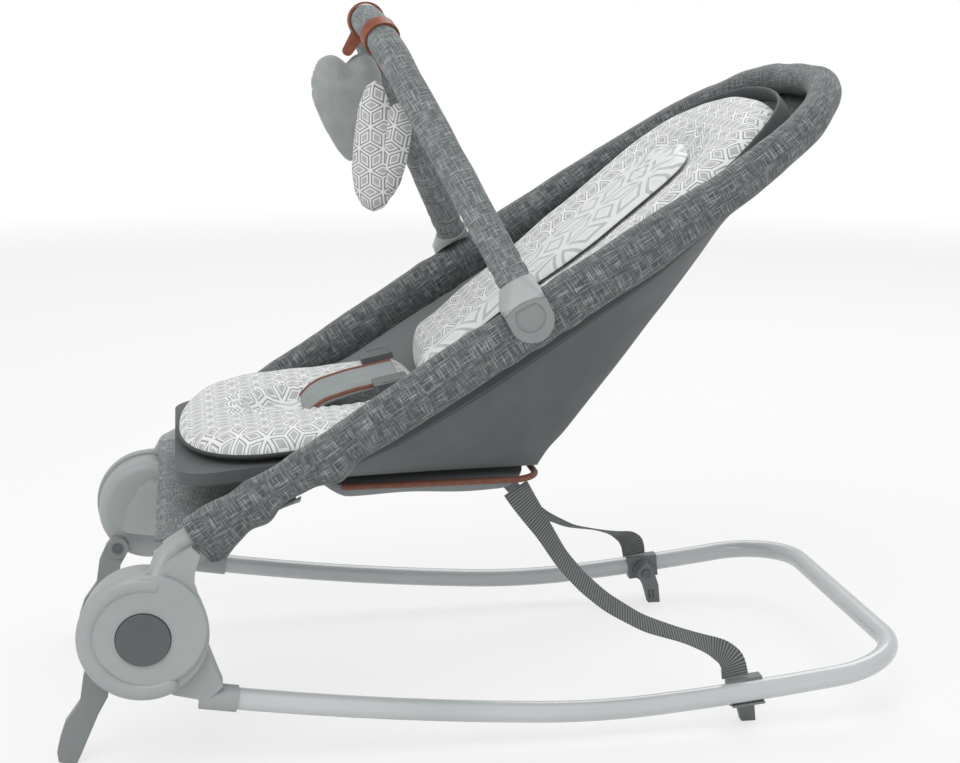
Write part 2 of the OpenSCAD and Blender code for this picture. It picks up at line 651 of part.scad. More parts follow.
// Half section from rim (t = 0) to the middle (t = 1), set in by a wall thickness
function shell_half(u, inset) =
    let (rim = shell_rim_v(u), vf = min(shell_v(u), rim - shell_t - 2) + inset, yr = shell_rim_y(u) - 1 - inset,
         yf = min(floor_w, yr * 0.9) - inset * 0.6, d = rim - vf)
    [for (k = [0:7])
        let (t = k / 7)
        t < 0.58 ?
            let (f = t / 0.58) [lerp(yr, yf, pow(f, 1.15)), rim - d * f - 0.03 * d * sin(180 * f)] :
            let (f = (t - 0.58) / 0.42) [yf * (1 - f), vf - 4 * sin(90 * f) * clamp01(d / 40)]];
function shell_ring(u) =
    let (o = shell_half(u, 0), i = shell_half(u, shell_t), n = len(o) - 1)
    concat([for (k = [0:n]) [u, -o[k][0], o[k][1]]], [for (k = [n - 1:-1:0]) [u, o[k][0], o[k][1]]],
           [for (k = [0:n]) [u, i[k][0], i[k][1]]], [for (k = [n - 1:-1:0]) [u, -i[k][0], i[k][1]]]);
shell_stations = concat([for (k = [0:7]) lerp(shell_start_u, floor_end_u, k / 8)],
                        [for (k = [0:15]) lerp(floor_end_u, rail_end, k / 16)],
                        [for (k = [0:12]) lerp(rail_end, shell_end_u, k / 12)]);
module seat_shell() {
    color("#5d6162") in_frame() in_seat()
        loft([for (u = shell_stations) shell_ring(u)]);
}

// Shallow pan under the floor
pan_x0 = 150;
pan_x1 = 350;
module pan_outline(inset) {
    offset(r = 24) translate([pan_x0 + 24 + inset, -floor_w + 22 + inset])
        square([pan_x1 - pan_x0 - 48 - 2 * inset, 2 * (floor_w - 22 - inset)]);
}
module bottom_pan() {
    top_z = floor_z - seat_gap - 3.4;
    color("#6b7073") in_frame() hull() {
        translate([0, 0, top_z - 1]) linear_extrude(1) pan_outline(0);
        translate([0, 0, top_z - 12]) linear_extrude(1) pan_outline(8);
        translate([0, 0, top_z - 21]) linear_extrude(1) pan_outline(34);
    }
}

// Brown piping sewn round the top edge of the pan
module pan_piping() {
    r = 3;
    w = floor_w + 2 - 24;
    x0 = pan_x0 + 24;
    x1 = pan_x1 - 24;
    color("#7b4a38") in_frame() translate([0, 0, floor_z - 7]) {
        for (s = [-1, 1]) translate([x0, s * (w + 24 + r), 0]) rotate([0, 90, 0]) cylinder(r = r, h = x1 - x0, $fn = 24);
        translate([x1 + 24 + r, w, 0]) rotate([90, 0, 0]) cylinder(r = r, h = 2 * w, $fn = 24);
        for (s = [-1, 1]) on_side(s) translate([x1, w, 0]) rotate_extrude(angle = 90, $fn = 48)
            translate([24 + r, 0]) circle(r, $fn = 24);
    }
}

// Board that carries the seat pad
board_x0 = 30;
board_x1 = 262;
pad_slope = 0.09;
function pad_under_z(x) = 249 + pad_slope * (x - 40);
board_w = pad_w + 4;
board_t = 11;
module board_plan() {
    hull() for (y = [-1, 1]) {
        translate([board_x0 + 34, y * (board_w - 34)]) circle(34);
        translate([120, y * (board_w - 10)]) circle(10);
    }
    polygon([[125, -board_w], [175, 4 - floor_w], [board_x1, 12 - floor_w],
             [board_x1, floor_w - 12], [175, floor_w - 4], [125, board_w]]);
}
module seat_board() {
    color("#565b5c") in_frame() intersection() {
        linear_extrude(2 * floor_z) board_plan();
        plate(-board_w - 1, board_w + 1)
            polygon([[0, pad_under_z(0) - seat_gap], [pad_x1, pad_under_z(pad_x1) - seat_gap],
                     [pad_x1, floor_z + shell_t], [185, floor_z + shell_t],
                     [150, pad_under_z(150) - board_t - 1], [0, pad_under_z(0) - board_t]]);
    }
}

// Seat pad: round at the front, with a hollow in its middle for the support's tongue
pad_x0 = 34;
pad_x1 = 267.2;
hollow_x0 = 148;
hollow_x1 = 196;
hollow_r = 52;
hollow_floor = 4;
module seat_pad() {
    slope_a = atan(pad_slope);
    lobe = 34;
    color("#e8e8e6") in_frame() translate([0, 0, pad_under_z(0)]) rotate([0, -slope_a, 0]) difference() {
        hull() {
            for (y = [-1, 1]) translate([pad_x0 + lobe, y * (pad_w - lobe), 0]) {
                cylinder(r = lobe - 6, h = 1, $fn = 32);
                translate([0, 0, 8]) cylinder(r = lobe, h = 3, $fn = 32);
            }
            for (y = [-1, 1]) translate([pad_x0 + lobe + 12, y * (pad_w - lobe - 10), pad_t - 8])
                cylinder(r = lobe - 4, h = 4, $fn = 32);
            for (y = [-1, 1]) translate([pad_x1 - 12, y * (pad_w - 14), 0]) cylinder(r = 12, h = pad_t, $fn = 32);
        }
        hull() for (x = [hollow_x0, hollow_x1]) translate([x, 0, hollow_floor])
            cylinder(r1 = hollow_r - 5, r2 = hollow_r, h = pad_t, $fn = 48);
    }
}

// Back pad: lies along the back of the hammock, round at the head
back_x0 = 266;
back_z0 = 270;
back_slope = 39.4;
// Distance from the end of the back pad to the head tube's centre line
back_head_gap = 43;
back_len = (head_end_u - back_head_gap - seat_u(back_x0, back_z0)) / cos(back_slope - recline);
back_t = 27;
module in_back() { translate([back_x0, 0, back_z0]) rotate([0, -back_slope, 0]) children(); }
module back_pad() {
    round_r = 78;
    color("#e8e8e6") in_frame() in_back() hull() {
        for (y = [-1, 1]) {
            translate([24, y * (pad_w - 14), 0]) cylinder(r = 10, h = back_t - 2, $fn = 32);
            translate([back_len - round_r, y * (pad_w - round_r), 3]) cylinder(r = round_r, h = back_t - 8, $fn = 64);
            translate([back_len - round_r, y * (pad_w - round_r), 0]) cylinder(r = round_r - 8, h = back_t, $fn = 64);
        }
    }
}

// White body support: a back portion and a seat portion in front of it
support_t = 15;
tongue_t = 6;
module body_support() {
    w = 70;
    color("#f0f0ee") in_frame() {
        in_back() hull() for (y = [-1, 1]) {
            translate([44, y * (w - 30), back_t + seat_gap]) cylinder(r = 26, h = support_t - 4, $fn = 32);
            translate([44, y * (w - 30), back_t + seat_gap + 2]) cylinder(r = 30, h = support_t - 8, $fn = 32);
            translate([back_len - 96, y * (w - 40), back_t + seat_gap]) cylinder(r = 40, h = support_t, $fn = 32);
        }
        translate([0, 0, pad_under_z(0)]) rotate([0, -atan(pad_slope), 0]) hull()
            for (x = [hollow_x0, hollow_x1 - 20]) translate([x, 0, hollow_floor + seat_gap])
                cylinder(r = hollow_r - 10, h = tongue_t, $fn = 48);
    }
}

// Crotch pad of the harness: a flap that stands up from the front of the seat
crotch_w = 45;
module crotch_pad() {
    color("#a0a6a6") in_frame() plate(-crotch_w, crotch_w) offset(r = 2)
        polygon([[150, 272.1], [158, 281], [168, 287], [194, 295], [238, 304], [239, 301], [195, 291],
                 [169, 283], [161, 277], [156, 272.5]]);
}

// Waist straps from the seat's sides to the crotch pad
module waist_straps() {
    color("#4d5152") in_frame() for (s = [-1, 1]) on_side(s)
        loft([for (p = [[232, 134, 292.4], [230, 106, 297], [228, 80, 301.6], [226, crotch_w + seat_gap, 301.6]])
            [[p[0] - webbing_w / 2, p[1], p[2] - 3], [p[0] + webbing_w / 2, p[1], p[2] + 2],
             [p[0] + webbing_w / 2, p[1], p[2] + 3.6], [p[0] - webbing_w / 2, p[1], p[2] - 1.4]]]);
}

// Side-release buckles between the waist straps and the crotch pad
module buckles() {
    color("#5a5e5f") in_frame() for (s = [-1, 1]) on_side(s)
        translate([226, crotch_w + 0.6, 303.2]) rotate([0, -12, 0]) difference() {
            hull() for (x = [-12, 12], y = [4, 30]) translate([x, y, 0]) cylinder(r = 4, h = 6, $fn = 24);
            translate([-8, 28, -1]) cube([16, 2, 8]);
        }
}

// ---- Toy bar ----

module in_clip() { translate([clip_x, 0, clip_z]) rotate([0, -bar_tilt, 0]) children(); }
tab_w = 19;
tab_y0 = split_y - 1;
tab_y1 = tab_y0 + 12;
split_r = 35;
blade_w = 12;
blade_l = 28;
blade_t = 4;
blade_y = tab_y0 + 3.5;

// U-shaped pocket clamped on the rail, which the toy bar's blade drops into
module clip(s) {
    color("#9a9f9f") in_frame() on_side(s) difference() {
        union() {
            in_seat() translate([clip_u - clip_half, rail_y, rail_v]) rotate([0, 90, 0])
                cylinder(r = tube_r + 3.7, h = 2 * clip_half);
            in_clip() plate(tab_y0, tab_y1) intersection() {
                union() {
                    translate([0, -15]) circle(tab_w);
                    translate([-tab_w, -15]) square([2 * tab_w, 20]);
                }
                translate([0, 2 - split_r]) circle(split_r, $fn = 96);
            }
        }
        in_seat() translate([clip_u - clip_half - 1, rail_y, rail_v]) rotate([0, 90, 0])
            cylinder(r = tube_r + 0.05, h = 2 * clip_half + 2);
        in_clip() translate([-blade_w - 0.5, blade_y - 0.5, -blade_l - 1]) cube([2 * blade_w + 1, blade_t + 1, blade_l + 6]);
        // Shallow recess in the outer face
        in_clip() plate(tab_y1 - 1.5, tab_y1 + 1) intersection() {
            translate([0, -12]) circle(tab_w - 6);
            translate([-tab_w, -26]) square([2 * tab_w, 24]);
        }
    }
}

// Frame of a toy bar leg: its foot is on the rail, and it leans to the middle
module in_leg() { in_clip() translate([bar_shift, bar_foot_y, 0]) rotate([bar_lean, 0, 0]) children(); }

module toy_bar_end(s) {
    color("#9a9f9f") in_frame() on_side(s) difference() {
        union() {
            hull() {
                in_clip() translate([0, 0, -4]) linear_extrude(6, $fn = 32) hull() for (x = [-1, 1]) {
                    translate([x * (tab_w - 6), tab_y1 - 6]) circle(6);
                    translate([x * (tab_w - 10), 190]) circle(10);
                }
                in_leg() translate([0, 0, 13]) cylinder(r = bar_sleeve_r + 1.5, h = 1, $fn = 32);
            }
            in_clip() translate([-blade_w, blade_y, -blade_l]) cube([2 * blade_w, blade_t, blade_l + 4]);
        }
        // Curved underside that sits on the clip, and room for the rail
        in_clip() plate(170, blade_y) translate([0, 2 - split_r]) circle(split_r + 0.3, $fn = 96);
        in_clip() plate(blade_y + blade_t, 230) translate([0, 2 - split_r]) circle(split_r + 0.3, $fn = 96);
        in_clip() for (x = [-1, 1]) translate([x > 0 ? blade_w : -60 - blade_w, blade_y - 1, 0])
            plate(0, blade_t + 2) translate([x > 0 ? -blade_w : 60 + blade_w, 2 - split_r]) circle(split_r + 0.3, $fn = 96);
        in_seat() translate([clip_u - 40, rail_y, rail_v]) rotate([0, 90, 0]) cylinder(r = tube_r + 4.3, h = 80);
        in_leg() translate([0, 0, 7]) cylinder(r = bar_r + 0.1, h = 20);
        in_leg() translate([0, 0, 10]) cylinder(r = bar_sleeve_r + 0.3, h = 20);
    }
}

// Carries a round section along both legs and the arch, from a height on the legs.
// The second child covers the seams.
module along_bar(h0) {
    for (s = [-1, 1]) on_side(s) in_leg() {
        translate([0, 0, h0]) linear_extrude(bar_leg - h0) children(0);
        translate([0, 0, bar_leg]) linear_extrude(1, center = true) children(1);
    }
    in_clip() translate([bar_shift, 0, arch_h]) rotate([90, 0, 90]) rotate([0, 0, bar_lean])
        rotate_extrude(angle = 180 - 2 * bar_lean, $fn = 144) translate([arch_r, 0]) children(0);
}

module bar_section(grow = 0) { ring(bar_r + grow, bar_r - 1.2 - grow); }
module toy_bar_tube() {
    color("#c5cccd") in_frame() along_bar(7.3) {
        bar_section();
        bar_section(seam_grow);
    }
}
module bar_sleeve_section(grow = 0) { ring(bar_sleeve_r + grow, bar_r + 0.2 - grow); }
module toy_bar_sleeve() {
    color("#63696a") in_frame() along_bar(10.3) {
        bar_sleeve_section();
        bar_sleeve_section(seam_grow);
    }
}

// Place of the bar's centre line over a side offset y
function bar_point(y) = let (h = arch_h + sqrt(arch_r * arch_r - y * y))
    [clip_x - sin(bar_tilt) * h + cos(bar_tilt) * bar_shift, y,
     clip_z + cos(bar_tilt) * h + sin(bar_tilt) * bar_shift];
// Frame at a place on the arch, with y along the bar
module on_arch(y) {
    in_clip() translate([bar_shift, 0, arch_h]) rotate([asin(-y / arch_r), 0, 0]) translate([0, 0, arch_r]) children();
}

// Loop round the bar with two flaps that hold a toy's pin
loop_w = 12;
loop_t = 1.8;
toy_pin_r = 2;
module toy_strap(y, drop, back) {
    p = bar_point(y);
    r = bar_sleeve_r + 0.3;
    fork = 7;
    color("#8a4a30") in_frame() {
        on_arch(y) difference() {
            disc(r + loop_t, -loop_w / 2, loop_w / 2);
            disc(r, -loop_w, loop_w);
        }
        difference() {
            translate([p[0], y, p[2]]) for (side = [-1, 1])
                plate(side > 0 ? fork / 2 : -fork / 2 - 1.6, side > 0 ? fork / 2 + 1.6 : -fork / 2) hull() {
                    translate([-back, -drop]) circle(4.5, $fn = 32);
                    rotate(atan2(-drop, -back)) translate([r - 2, 0]) square([loop_t, 12], center = true);
                }
            on_arch(y) disc(r + 0.9, -20, 20);
        }
        translate([p[0] - back, y, p[2] - drop]) disc(toy_pin_r, -fork / 2 - 1.6, fork / 2 + 1.6);
    }
}
heart_y = 0;
heart_drop = 27;
heart_back = 17;
leaf_y = -55;
leaf_drop = 27;
leaf_back = -4;
module toy_strap_heart() { toy_strap(heart_y, heart_drop, heart_back); }
module toy_strap_leaf() { toy_strap(leaf_y, leaf_drop, leaf_back); }

// Stuffed heart on a short tab that swings on its pin
module toy_tab(len) {
    difference() {
        hull() {
            disc(4.2, -3, 3);
            translate([0, 0, -len]) disc(4.2, -3, 3);
        }
        disc(toy_pin_r + 0.06, -5, 5);
    }
}
module toy_heart() {
    p = bar_point(heart_y);
    color("#b4b8b8") in_frame() translate([p[0] - heart_back, heart_y, p[2] - heart_drop]) {
        toy_tab(26);
        translate([-2, 0, -6]) rotate([0, 0, 20]) {
            for (s = [-1, 1]) hull() {
                translate([s * 16, 0, -14]) sphere(13, $fn = 20);
                translate([s * 18, 0, -30]) sphere(13, $fn = 20);
                translate([s * 2, 0, -80]) sphere(9, $fn = 20);
                translate([0, 0, -30]) sphere(15, $fn = 20);
            }
        }
    }
}

// Stuffed leaf with two lobes
module toy_leaf() {
    p = bar_point(leaf_y);
    color("#dedfdd") in_frame() translate([p[0] - leaf_back, leaf_y, p[2] - leaf_drop]) {
        toy_tab(14);
        translate([0, 0, -13]) rotate([0, 0, -22]) {
            hull() {
                translate([-5, 0, -12]) sphere(9.5, $fn = 20);
                translate([-19, 0, -50]) sphere(13, $fn = 20);
                translate([-3, 0, -104]) sphere(11.5, $fn = 20);
            }
            hull() {
                translate([19, 0, -36]) sphere(10, $fn = 20);
                translate([20, 0, -66]) sphere(12, $fn = 20);
                translate([-3, 0, -104]) sphere(11.5, $fn = 20);
            }
        }
    }
}

rocker_tube();
hub_base(-1);  // hub_base_left
hub_base(1);  // hub_base_right
front_cross_tube();
hub_axle(-1);  // hub_axle_left
hub_axle(1);  // hub_axle_right
lock_gear(-1);  // lock_gear_left
lock_gear(1);  // lock_gear_right
lock_spring(-1);  // lock_spring_left
lock_spring(1);  // lock_spring_right
hub_cover(-1);  // hub_cover_left
hub_cover(1);  // hub_cover_right
hub_button(-1);  // hub_button_left
hub_button(1);  // hub_button_right
front_foot(-1);  // front_foot_left
front_foot(1);  // front_foot_right
rear_foot_bracket(-1);  // rear_foot_bracket_left
rear_foot_bracket(1);  // rear_foot_bracket_right
rear_foot(-1);  // rear_foot_left
rear_foot(1);  // rear_foot_right
foot_rivets();
base_strap(-1);  // base_strap_left
base_strap(1);  // base_strap_right
seat_tube();
seat_sleeve();
front_apron();
seat_shell();
bottom_pan();
pan_piping();
seat_board();
seat_pad();
back_pad();
body_support();
crotch_pad();
waist_straps();
buckles();
clip(-1);  // clip_left
clip(1);  // clip_right
toy_bar_tube();
toy_bar_sleeve();
toy_bar_end(-1);  // toy_bar_end_left
toy_bar_end(1);  // toy_bar_end_right
toy_strap_heart();
toy_strap_leaf();
toy_heart();
toy_leaf();
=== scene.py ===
"""A folding bouncer seat: a fabric hammock on a U-shaped tube over a rocker frame, with a toy bar.

Lengths are in metres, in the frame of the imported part: +X towards the head end, +Z up, floor at z = 0.
"""
import json
import math

import bmesh
import bpy
import numpy as np
from mathutils import Matrix


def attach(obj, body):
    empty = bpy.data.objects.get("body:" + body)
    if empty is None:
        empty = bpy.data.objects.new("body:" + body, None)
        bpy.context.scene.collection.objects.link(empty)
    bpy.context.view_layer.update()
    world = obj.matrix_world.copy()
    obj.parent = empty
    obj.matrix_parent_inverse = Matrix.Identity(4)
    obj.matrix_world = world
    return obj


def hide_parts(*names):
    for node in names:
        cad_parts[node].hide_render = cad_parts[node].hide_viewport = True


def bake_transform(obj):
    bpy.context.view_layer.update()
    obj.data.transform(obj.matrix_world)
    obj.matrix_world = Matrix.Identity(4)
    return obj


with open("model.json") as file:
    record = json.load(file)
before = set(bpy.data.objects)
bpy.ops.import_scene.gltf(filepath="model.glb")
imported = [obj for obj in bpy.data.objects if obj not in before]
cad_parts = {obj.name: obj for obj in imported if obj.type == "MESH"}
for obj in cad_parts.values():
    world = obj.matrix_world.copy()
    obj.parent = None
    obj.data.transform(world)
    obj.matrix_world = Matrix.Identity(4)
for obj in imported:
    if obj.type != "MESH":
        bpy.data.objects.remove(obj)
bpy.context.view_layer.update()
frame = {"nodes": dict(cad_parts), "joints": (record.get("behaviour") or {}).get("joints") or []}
node = frame["nodes"]

# ---- Camera, floor and studio light ----
# A long lens a little above the seat, on its near side, and a pale floor that runs out of sight.
# Two large soft lamps stand over the seat and the sky fills in the rest.


def in_scene(name, data):
    """A new object with that data, linked to the scene."""
    made = bpy.data.objects.new(name, data)
    bpy.context.scene.collection.objects.link(made)
    return made


def stand(place, axes):
    """A placement: a point, and the directions of an object's own x, y and z there."""
    return Matrix.Translation(place) @ Matrix(np.column_stack(axes).tolist()).to_4x4()


def unit(vectors):
    """Vectors divided by their own lengths."""
    return vectors / np.linalg.norm(vectors, axis=-1, keepdims=True)


camera = in_scene("camera", bpy.data.cameras.new("camera"))
camera_at = (-0.26541, -1.61182, 0.64106)
yaw, pitch, roll = -0.168131, 0.211620, 0.001868
facing = np.array([-math.sin(yaw) * math.cos(pitch), math.cos(yaw) * math.cos(pitch), -math.sin(pitch)])
level = np.array([math.cos(yaw), math.sin(yaw), 0])
upright = np.cross(level, facing)
right = math.cos(roll) * level + math.sin(roll) * upright
up = math.cos(roll) * upright - math.sin(roll) * level
camera.matrix_world = stand(camera_at, [right, up, -facing])
camera.data.lens, camera.data.sensor_width = 65.625, 36
bpy.context.scene.camera = camera
bpy.context.scene.view_settings.view_transform = "Standard"


def lamp(name, place, aim, size, watts):
    """A square area lamp at one point that faces another."""
    light = in_scene(name, bpy.data.lights.new(name, "AREA"))
    light.data.size, light.data.energy = size, watts
    back = unit(np.subtract(place, aim))
    side = unit(np.cross((0, 0, 1), back))
    light.matrix_world = stand(place, [side, np.cross(back, side), back])


lamp("key_lamp", place=(-0.9, -1.5, 2.3), aim=(0, 0, 0.25), size=1.6, watts=24)
lamp("back_lamp", place=(0.9, 1.6, 2.2), aim=(0, 0, 0.3), size=1.8, watts=20)

# The sky lights the seat at this strength, and the camera sees it white
sky_light = 0.62
sky = bpy.data.worlds.new("sky")
bpy.context.scene.world = sky
sky.use_nodes = True
sky.node_tree.nodes["Background"].inputs["Color"].default_value = (1, 1, 1, 1)
sky.node_tree.nodes["Background"].inputs["Strength"].default_value = sky_light
seen = sky.node_tree.nodes.new("ShaderNodeLightPath")
brightness = sky.node_tree.nodes.new("ShaderNodeMapRange")
brightness.inputs["To Min"].default_value, brightness.inputs["To Max"].default_value = sky_light, 1.0
sky.node_tree.links.new(seen.outputs["Is Camera Ray"], brightness.inputs["Value"])
sky.node_tree.links.new(brightness.outputs[0], sky.node_tree.nodes["Background"].inputs["Strength"])


def linear(code):
    """A hex colour as linear red, green, blue and alpha."""
    part = np.array([int(code[i:i + 2], 16) / 255 for i in (1, 3, 5)])
    return (*np.where(part <= 0.04045, part / 12.92, ((part + 0.055) / 1.055) ** 2.4), 1.0)


class Finish:
    """A material. Constant values go straight on the shader's sockets, and add() wires up one more node."""

    def __init__(self, name, colour, roughness=0.5, **sockets):
        self.material = bpy.data.materials.new(name)
        self.material.use_nodes = True
        self.nodes = self.material.node_tree.nodes
        self.shader = self.nodes["Principled BSDF"]
        self.shader.inputs["Base Color"].default_value = linear(colour)
        self.shader.inputs["Roughness"].default_value = roughness
        for socket, value in sockets.items():
            self.shader.inputs[socket.replace("_", " ")].default_value = value

    def wire(self, socket, value):
        """Puts a value, or another node's output, on a socket."""
        if isinstance(value, bpy.types.NodeSocket):
            self.material.node_tree.links.new(value, socket)
        else:
            socket.default_value = value

    def add(self, kind, inputs, out=0, **settings):
        """One node with its inputs by name or number; returns one of its outputs."""
        added = self.nodes.new("ShaderNode" + kind)
        for setting, value in settings.items():
            setattr(added, setting, value)
        for socket, value in inputs.items():
            self.wire(added.inputs[socket], value)
        return added.outputs[out]

    def math(self, operation, a, b=0.0):
        """One operation on two values."""
        return self.add("Math", {0: a, 1: b}, operation=operation)

    def point(self, source="Object", scale=(1, 1, 1), turn=(0, 0, 0)):
        """A place on the piece in metres, from its object coordinates or its UV map, stretched and turned."""
        place = self.add("TexCoord", {}, out=source)
        return self.add("Mapping", {"Vector": place, "Scale": scale, "Rotation": turn})

    def noise(self, point, scale, detail=2.0, roughness=0.5):
        """Cloudy noise from 0 to 1, with about as many clouds to the metre as its scale."""
        return self.add("TexNoise", {"Vector": point, "Scale": scale, "Detail": detail,
                                     "Roughness": roughness})

    def ramp(self, value, *stops, interpolation="LINEAR"):
        """Colours at places along a value from 0 to 1."""
        output = self.add("ValToRGB", {"Fac": value})
        band = output.node.color_ramp
        band.interpolation = interpolation
        while len(band.elements) < len(stops):
            band.elements.new(1.0)
        for element, (place, colour) in zip(band.elements, stops):
            element.position, element.color = place, linear(colour)
        return output

    def mix(self, share, a, b, blend="MIX"):
        """Two colours mixed, with a share of the second."""
        return self.add("Mix", {0: share, 6: a, 7: b}, out=2, data_type="RGBA", blend_type=blend)

    def bump(self, height, distance, strength=1.0):
        """Relief of the given depth in metres, laid over any relief that is already there."""
        socket = self.shader.inputs["Normal"]
        under = {"Normal": socket.links[0].from_socket} if socket.links else {}
        relief = self.add("Bump", {"Height": height, "Distance": distance, "Strength": strength, **under})
        self.wire(socket, relief)

    def colour(self, value):
        """Takes the base colour from another node."""
        self.wire(self.shader.inputs["Base Color"], value)


floor = in_scene("floor", bpy.data.meshes.new("floor"))
floor_reach = 30
floor_corners = [(floor_reach * x, floor_reach * y, 0) for x, y in ((-1, -1), (1, -1), (1, 1), (-1, 1))]
floor.data.from_pydata(floor_corners, [], [(0, 1, 2, 3)])
floor_finish = Finish("pale_floor", "#f4f4f4", 0.6)
shine = floor_finish.add("Emission", {"Color": (1, 1, 1, 1), "Strength": 1.0})
# The floor pales to plain white with distance from the seat, and most of the way for the camera everywhere
far_off = floor_finish.add("MapRange", {
    "Value": floor_finish.add("VectorMath", {0: floor_finish.point()}, out=1, operation="LENGTH"),
    "From Min": 1.1, "From Max": 4.0})
to_camera = floor_finish.math("MULTIPLY", floor_finish.add("LightPath", {}), 0.7)
paleness = floor_finish.math("MAXIMUM", far_off, to_camera)
floor_finish.wire(
    floor_finish.nodes["Material Output"].inputs["Surface"],
    floor_finish.add("MixShader", {0: paleness, 1: floor_finish.shader.outputs[0], 2: shine}))
floor.data.materials.append(floor_finish.material)

# ---- Painted steel tubes ----
# The rocker, the seat tube and the toy bar are bent steel tube with a glossy light grey coat, which has a
# faint unevenness from the spray gun. The straight tube between the hubs has a darker coat.

hub = np.array(next(j for j in frame["joints"] if j["name"] == "seat_fold")["pos_m"], float)
slope = math.radians(32.2)


def dress(names, finish):
    """Gives CAD nodes a finish."""
    for name in names:
        node[name].data.materials.clear()
        node[name].data.materials.append(finish.material)


paint = Finish("grey_coat", "#ccd1d2", 0.27, Metallic=0.1, Coat_Weight=0.6, Coat_Roughness=0.12)
paint.bump(paint.noise(paint.point(), 260.0, 3.0), 0.00006)
paint.colour(paint.ramp(paint.noise(paint.point(), 9.0), (0.3, "#c8cdce"), (0.7, "#d4d8d9")))
dress(["rocker_tube", "seat_tube", "toy_bar_tube"], paint)

cross_paint = Finish("cross_tube_coat", "#8e9494", 0.35, Metallic=0.2, Coat_Weight=0.3)
cross_paint.bump(cross_paint.noise(cross_paint.point(), 300.0, 3.0), 0.00005)
dress(["front_cross_tube"], cross_paint)

# ---- Moulded hubs, clips and feet ----
# Satin grey plastic with the fine grain of the mould, a little uneven in shade and gloss. The buttons,
# gears and buckles are darker, and the clips, feet and saddles have greys of their own. The axles, the
# springs and the feet's pins are steel.


def moulded(name, light, dark, roughness=0.42):
    """Satin moulded plastic: soft clouds between two shades and two degrees of gloss, with fine grain."""
    plastic = Finish(name, light, roughness, Coat_Weight=0.08, Coat_Roughness=0.3)
    grain = plastic.noise(plastic.point(), 1400.0, 2.0)
    cloud = plastic.noise(plastic.point(), 14.0, 4.0, 0.6)
    plastic.colour(plastic.ramp(cloud, (0.3, dark), (0.72, light)))
    plastic.wire(plastic.shader.inputs["Roughness"], plastic.add("MapRange", {
        "Value": cloud, "To Min": roughness - 0.05, "To Max": roughness + 0.07}))
    plastic.bump(grain, 0.00005, 0.7)
    return plastic


hub_plastic = moulded("hub_plastic", "#abb0b0", "#a3a8a8")
dress(["hub_base_left", "hub_base_right", "hub_cover_left", "hub_cover_right",
       "toy_bar_end_left", "toy_bar_end_right"], hub_plastic)
dress(["clip_left", "clip_right"], moulded("clip_plastic", "#929797", "#8a8f8f"))
dress(["hub_button_left", "hub_button_right"], moulded("button_plastic", "#5d6162", "#565a5b", 0.38))
dress(["front_foot_left", "front_foot_right"], moulded("foot_plastic", "#8d9292", "#858a8a"))
dress(["rear_foot_left", "rear_foot_right", "rear_foot_bracket_left", "rear_foot_bracket_right"],
      moulded("saddle_plastic", "#7d8182", "#74797a"))
dress(["lock_gear_left", "lock_gear_right"], moulded("gear_plastic", "#484b4c", "#404344", 0.35))
dress(["buckles"], moulded("buckle_plastic", "#5c6061", "#54585a", 0.35))

steel = Finish("plain_steel", "#b4b8b8", 0.28, Metallic=1.0)
brushed = steel.noise(steel.point(scale=(40, 2000, 2000)), 1.0, 3.0)
steel.bump(brushed, 0.00003)
dress(["hub_axle_left", "hub_axle_right", "lock_spring_left", "lock_spring_right"], steel)

pin_steel = Finish("dark_pin_steel", "#6c7071", 0.4, Metallic=0.8)
pin_steel.bump(pin_steel.noise(pin_steel.point(), 900.0), 0.00003)
dress(["foot_rivets"], pin_steel)

# ---- Sleeve round the seat tube ----
# A padded roll of woven grey melange sewn round the U-shaped seat tube. Its hem hangs below the rail,
# it is pinched where the toy bar's clips grip the tube, and it ruffles at its open foot ends.

# The tube's line, seen square to its slope: its legs lie rail_y from the middle and rail_v over the hub, and
# end at rail_end in corners of one radius, which a wide bow of another radius joins at the head
rail_y, rail_v, rail_end = 0.188, 0.0414, 0.612
corner_r, bow_r = 0.155, 1.15
bow_turn = math.asin((rail_y - corner_r) / (bow_r - corner_r))
bow_u = rail_end - (bow_r - corner_r) * math.cos(bow_turn)
clip_u = 0.4154


def in_seat(u, y, v):
    """Points given along the slope from the hub, across, and square to the slope."""
    u, y, v = np.broadcast_arrays(u, y, v)
    return np.stack([hub[0] + u * math.cos(slope) - v * math.sin(slope), y,
                     hub[2] + u * math.sin(slope) + v * math.cos(slope)], -1)


def run_of(line):
    """How far along a line each of its points lies: the summed lengths of the steps up to it."""
    return np.insert(np.cumsum(np.linalg.norm(np.diff(line, axis=0), axis=1)), 0, 0)


def full_turn(steps):
    """Angles in even steps all the way round."""
    return np.linspace(0, 2 * math.pi, steps + 1)[:-1]


def seat_rail(start, step):
    """The seat tube's U from the near foot end to the far one, in even steps along its legs, corners and
    bow: places (u, y), outward directions and run."""
    corner = np.radians(np.linspace(-90, -math.degrees(bow_turn), 60))[:, None]
    bow = np.linspace(-bow_turn, 0, 60)[1:, None]
    half = np.concatenate([
        [[start, -rail_y]],
        [rail_end, corner_r - rail_y] + corner_r * np.hstack([np.cos(corner), np.sin(corner)]),
        [bow_u, 0] + bow_r * np.hstack([np.cos(bow), np.sin(bow)])])
    whole = np.concatenate([half, half[-2::-1] * [1, -1]])
    run = run_of(whole)
    even = np.linspace(0, run[-1], int(run[-1] / step))
    places = np.stack([np.interp(even, run, whole[:, k]) for k in (0, 1)], -1)
    ahead = unit(np.gradient(places, axis=0))
    return places, np.stack([ahead[:, 1], -ahead[:, 0]], -1), even


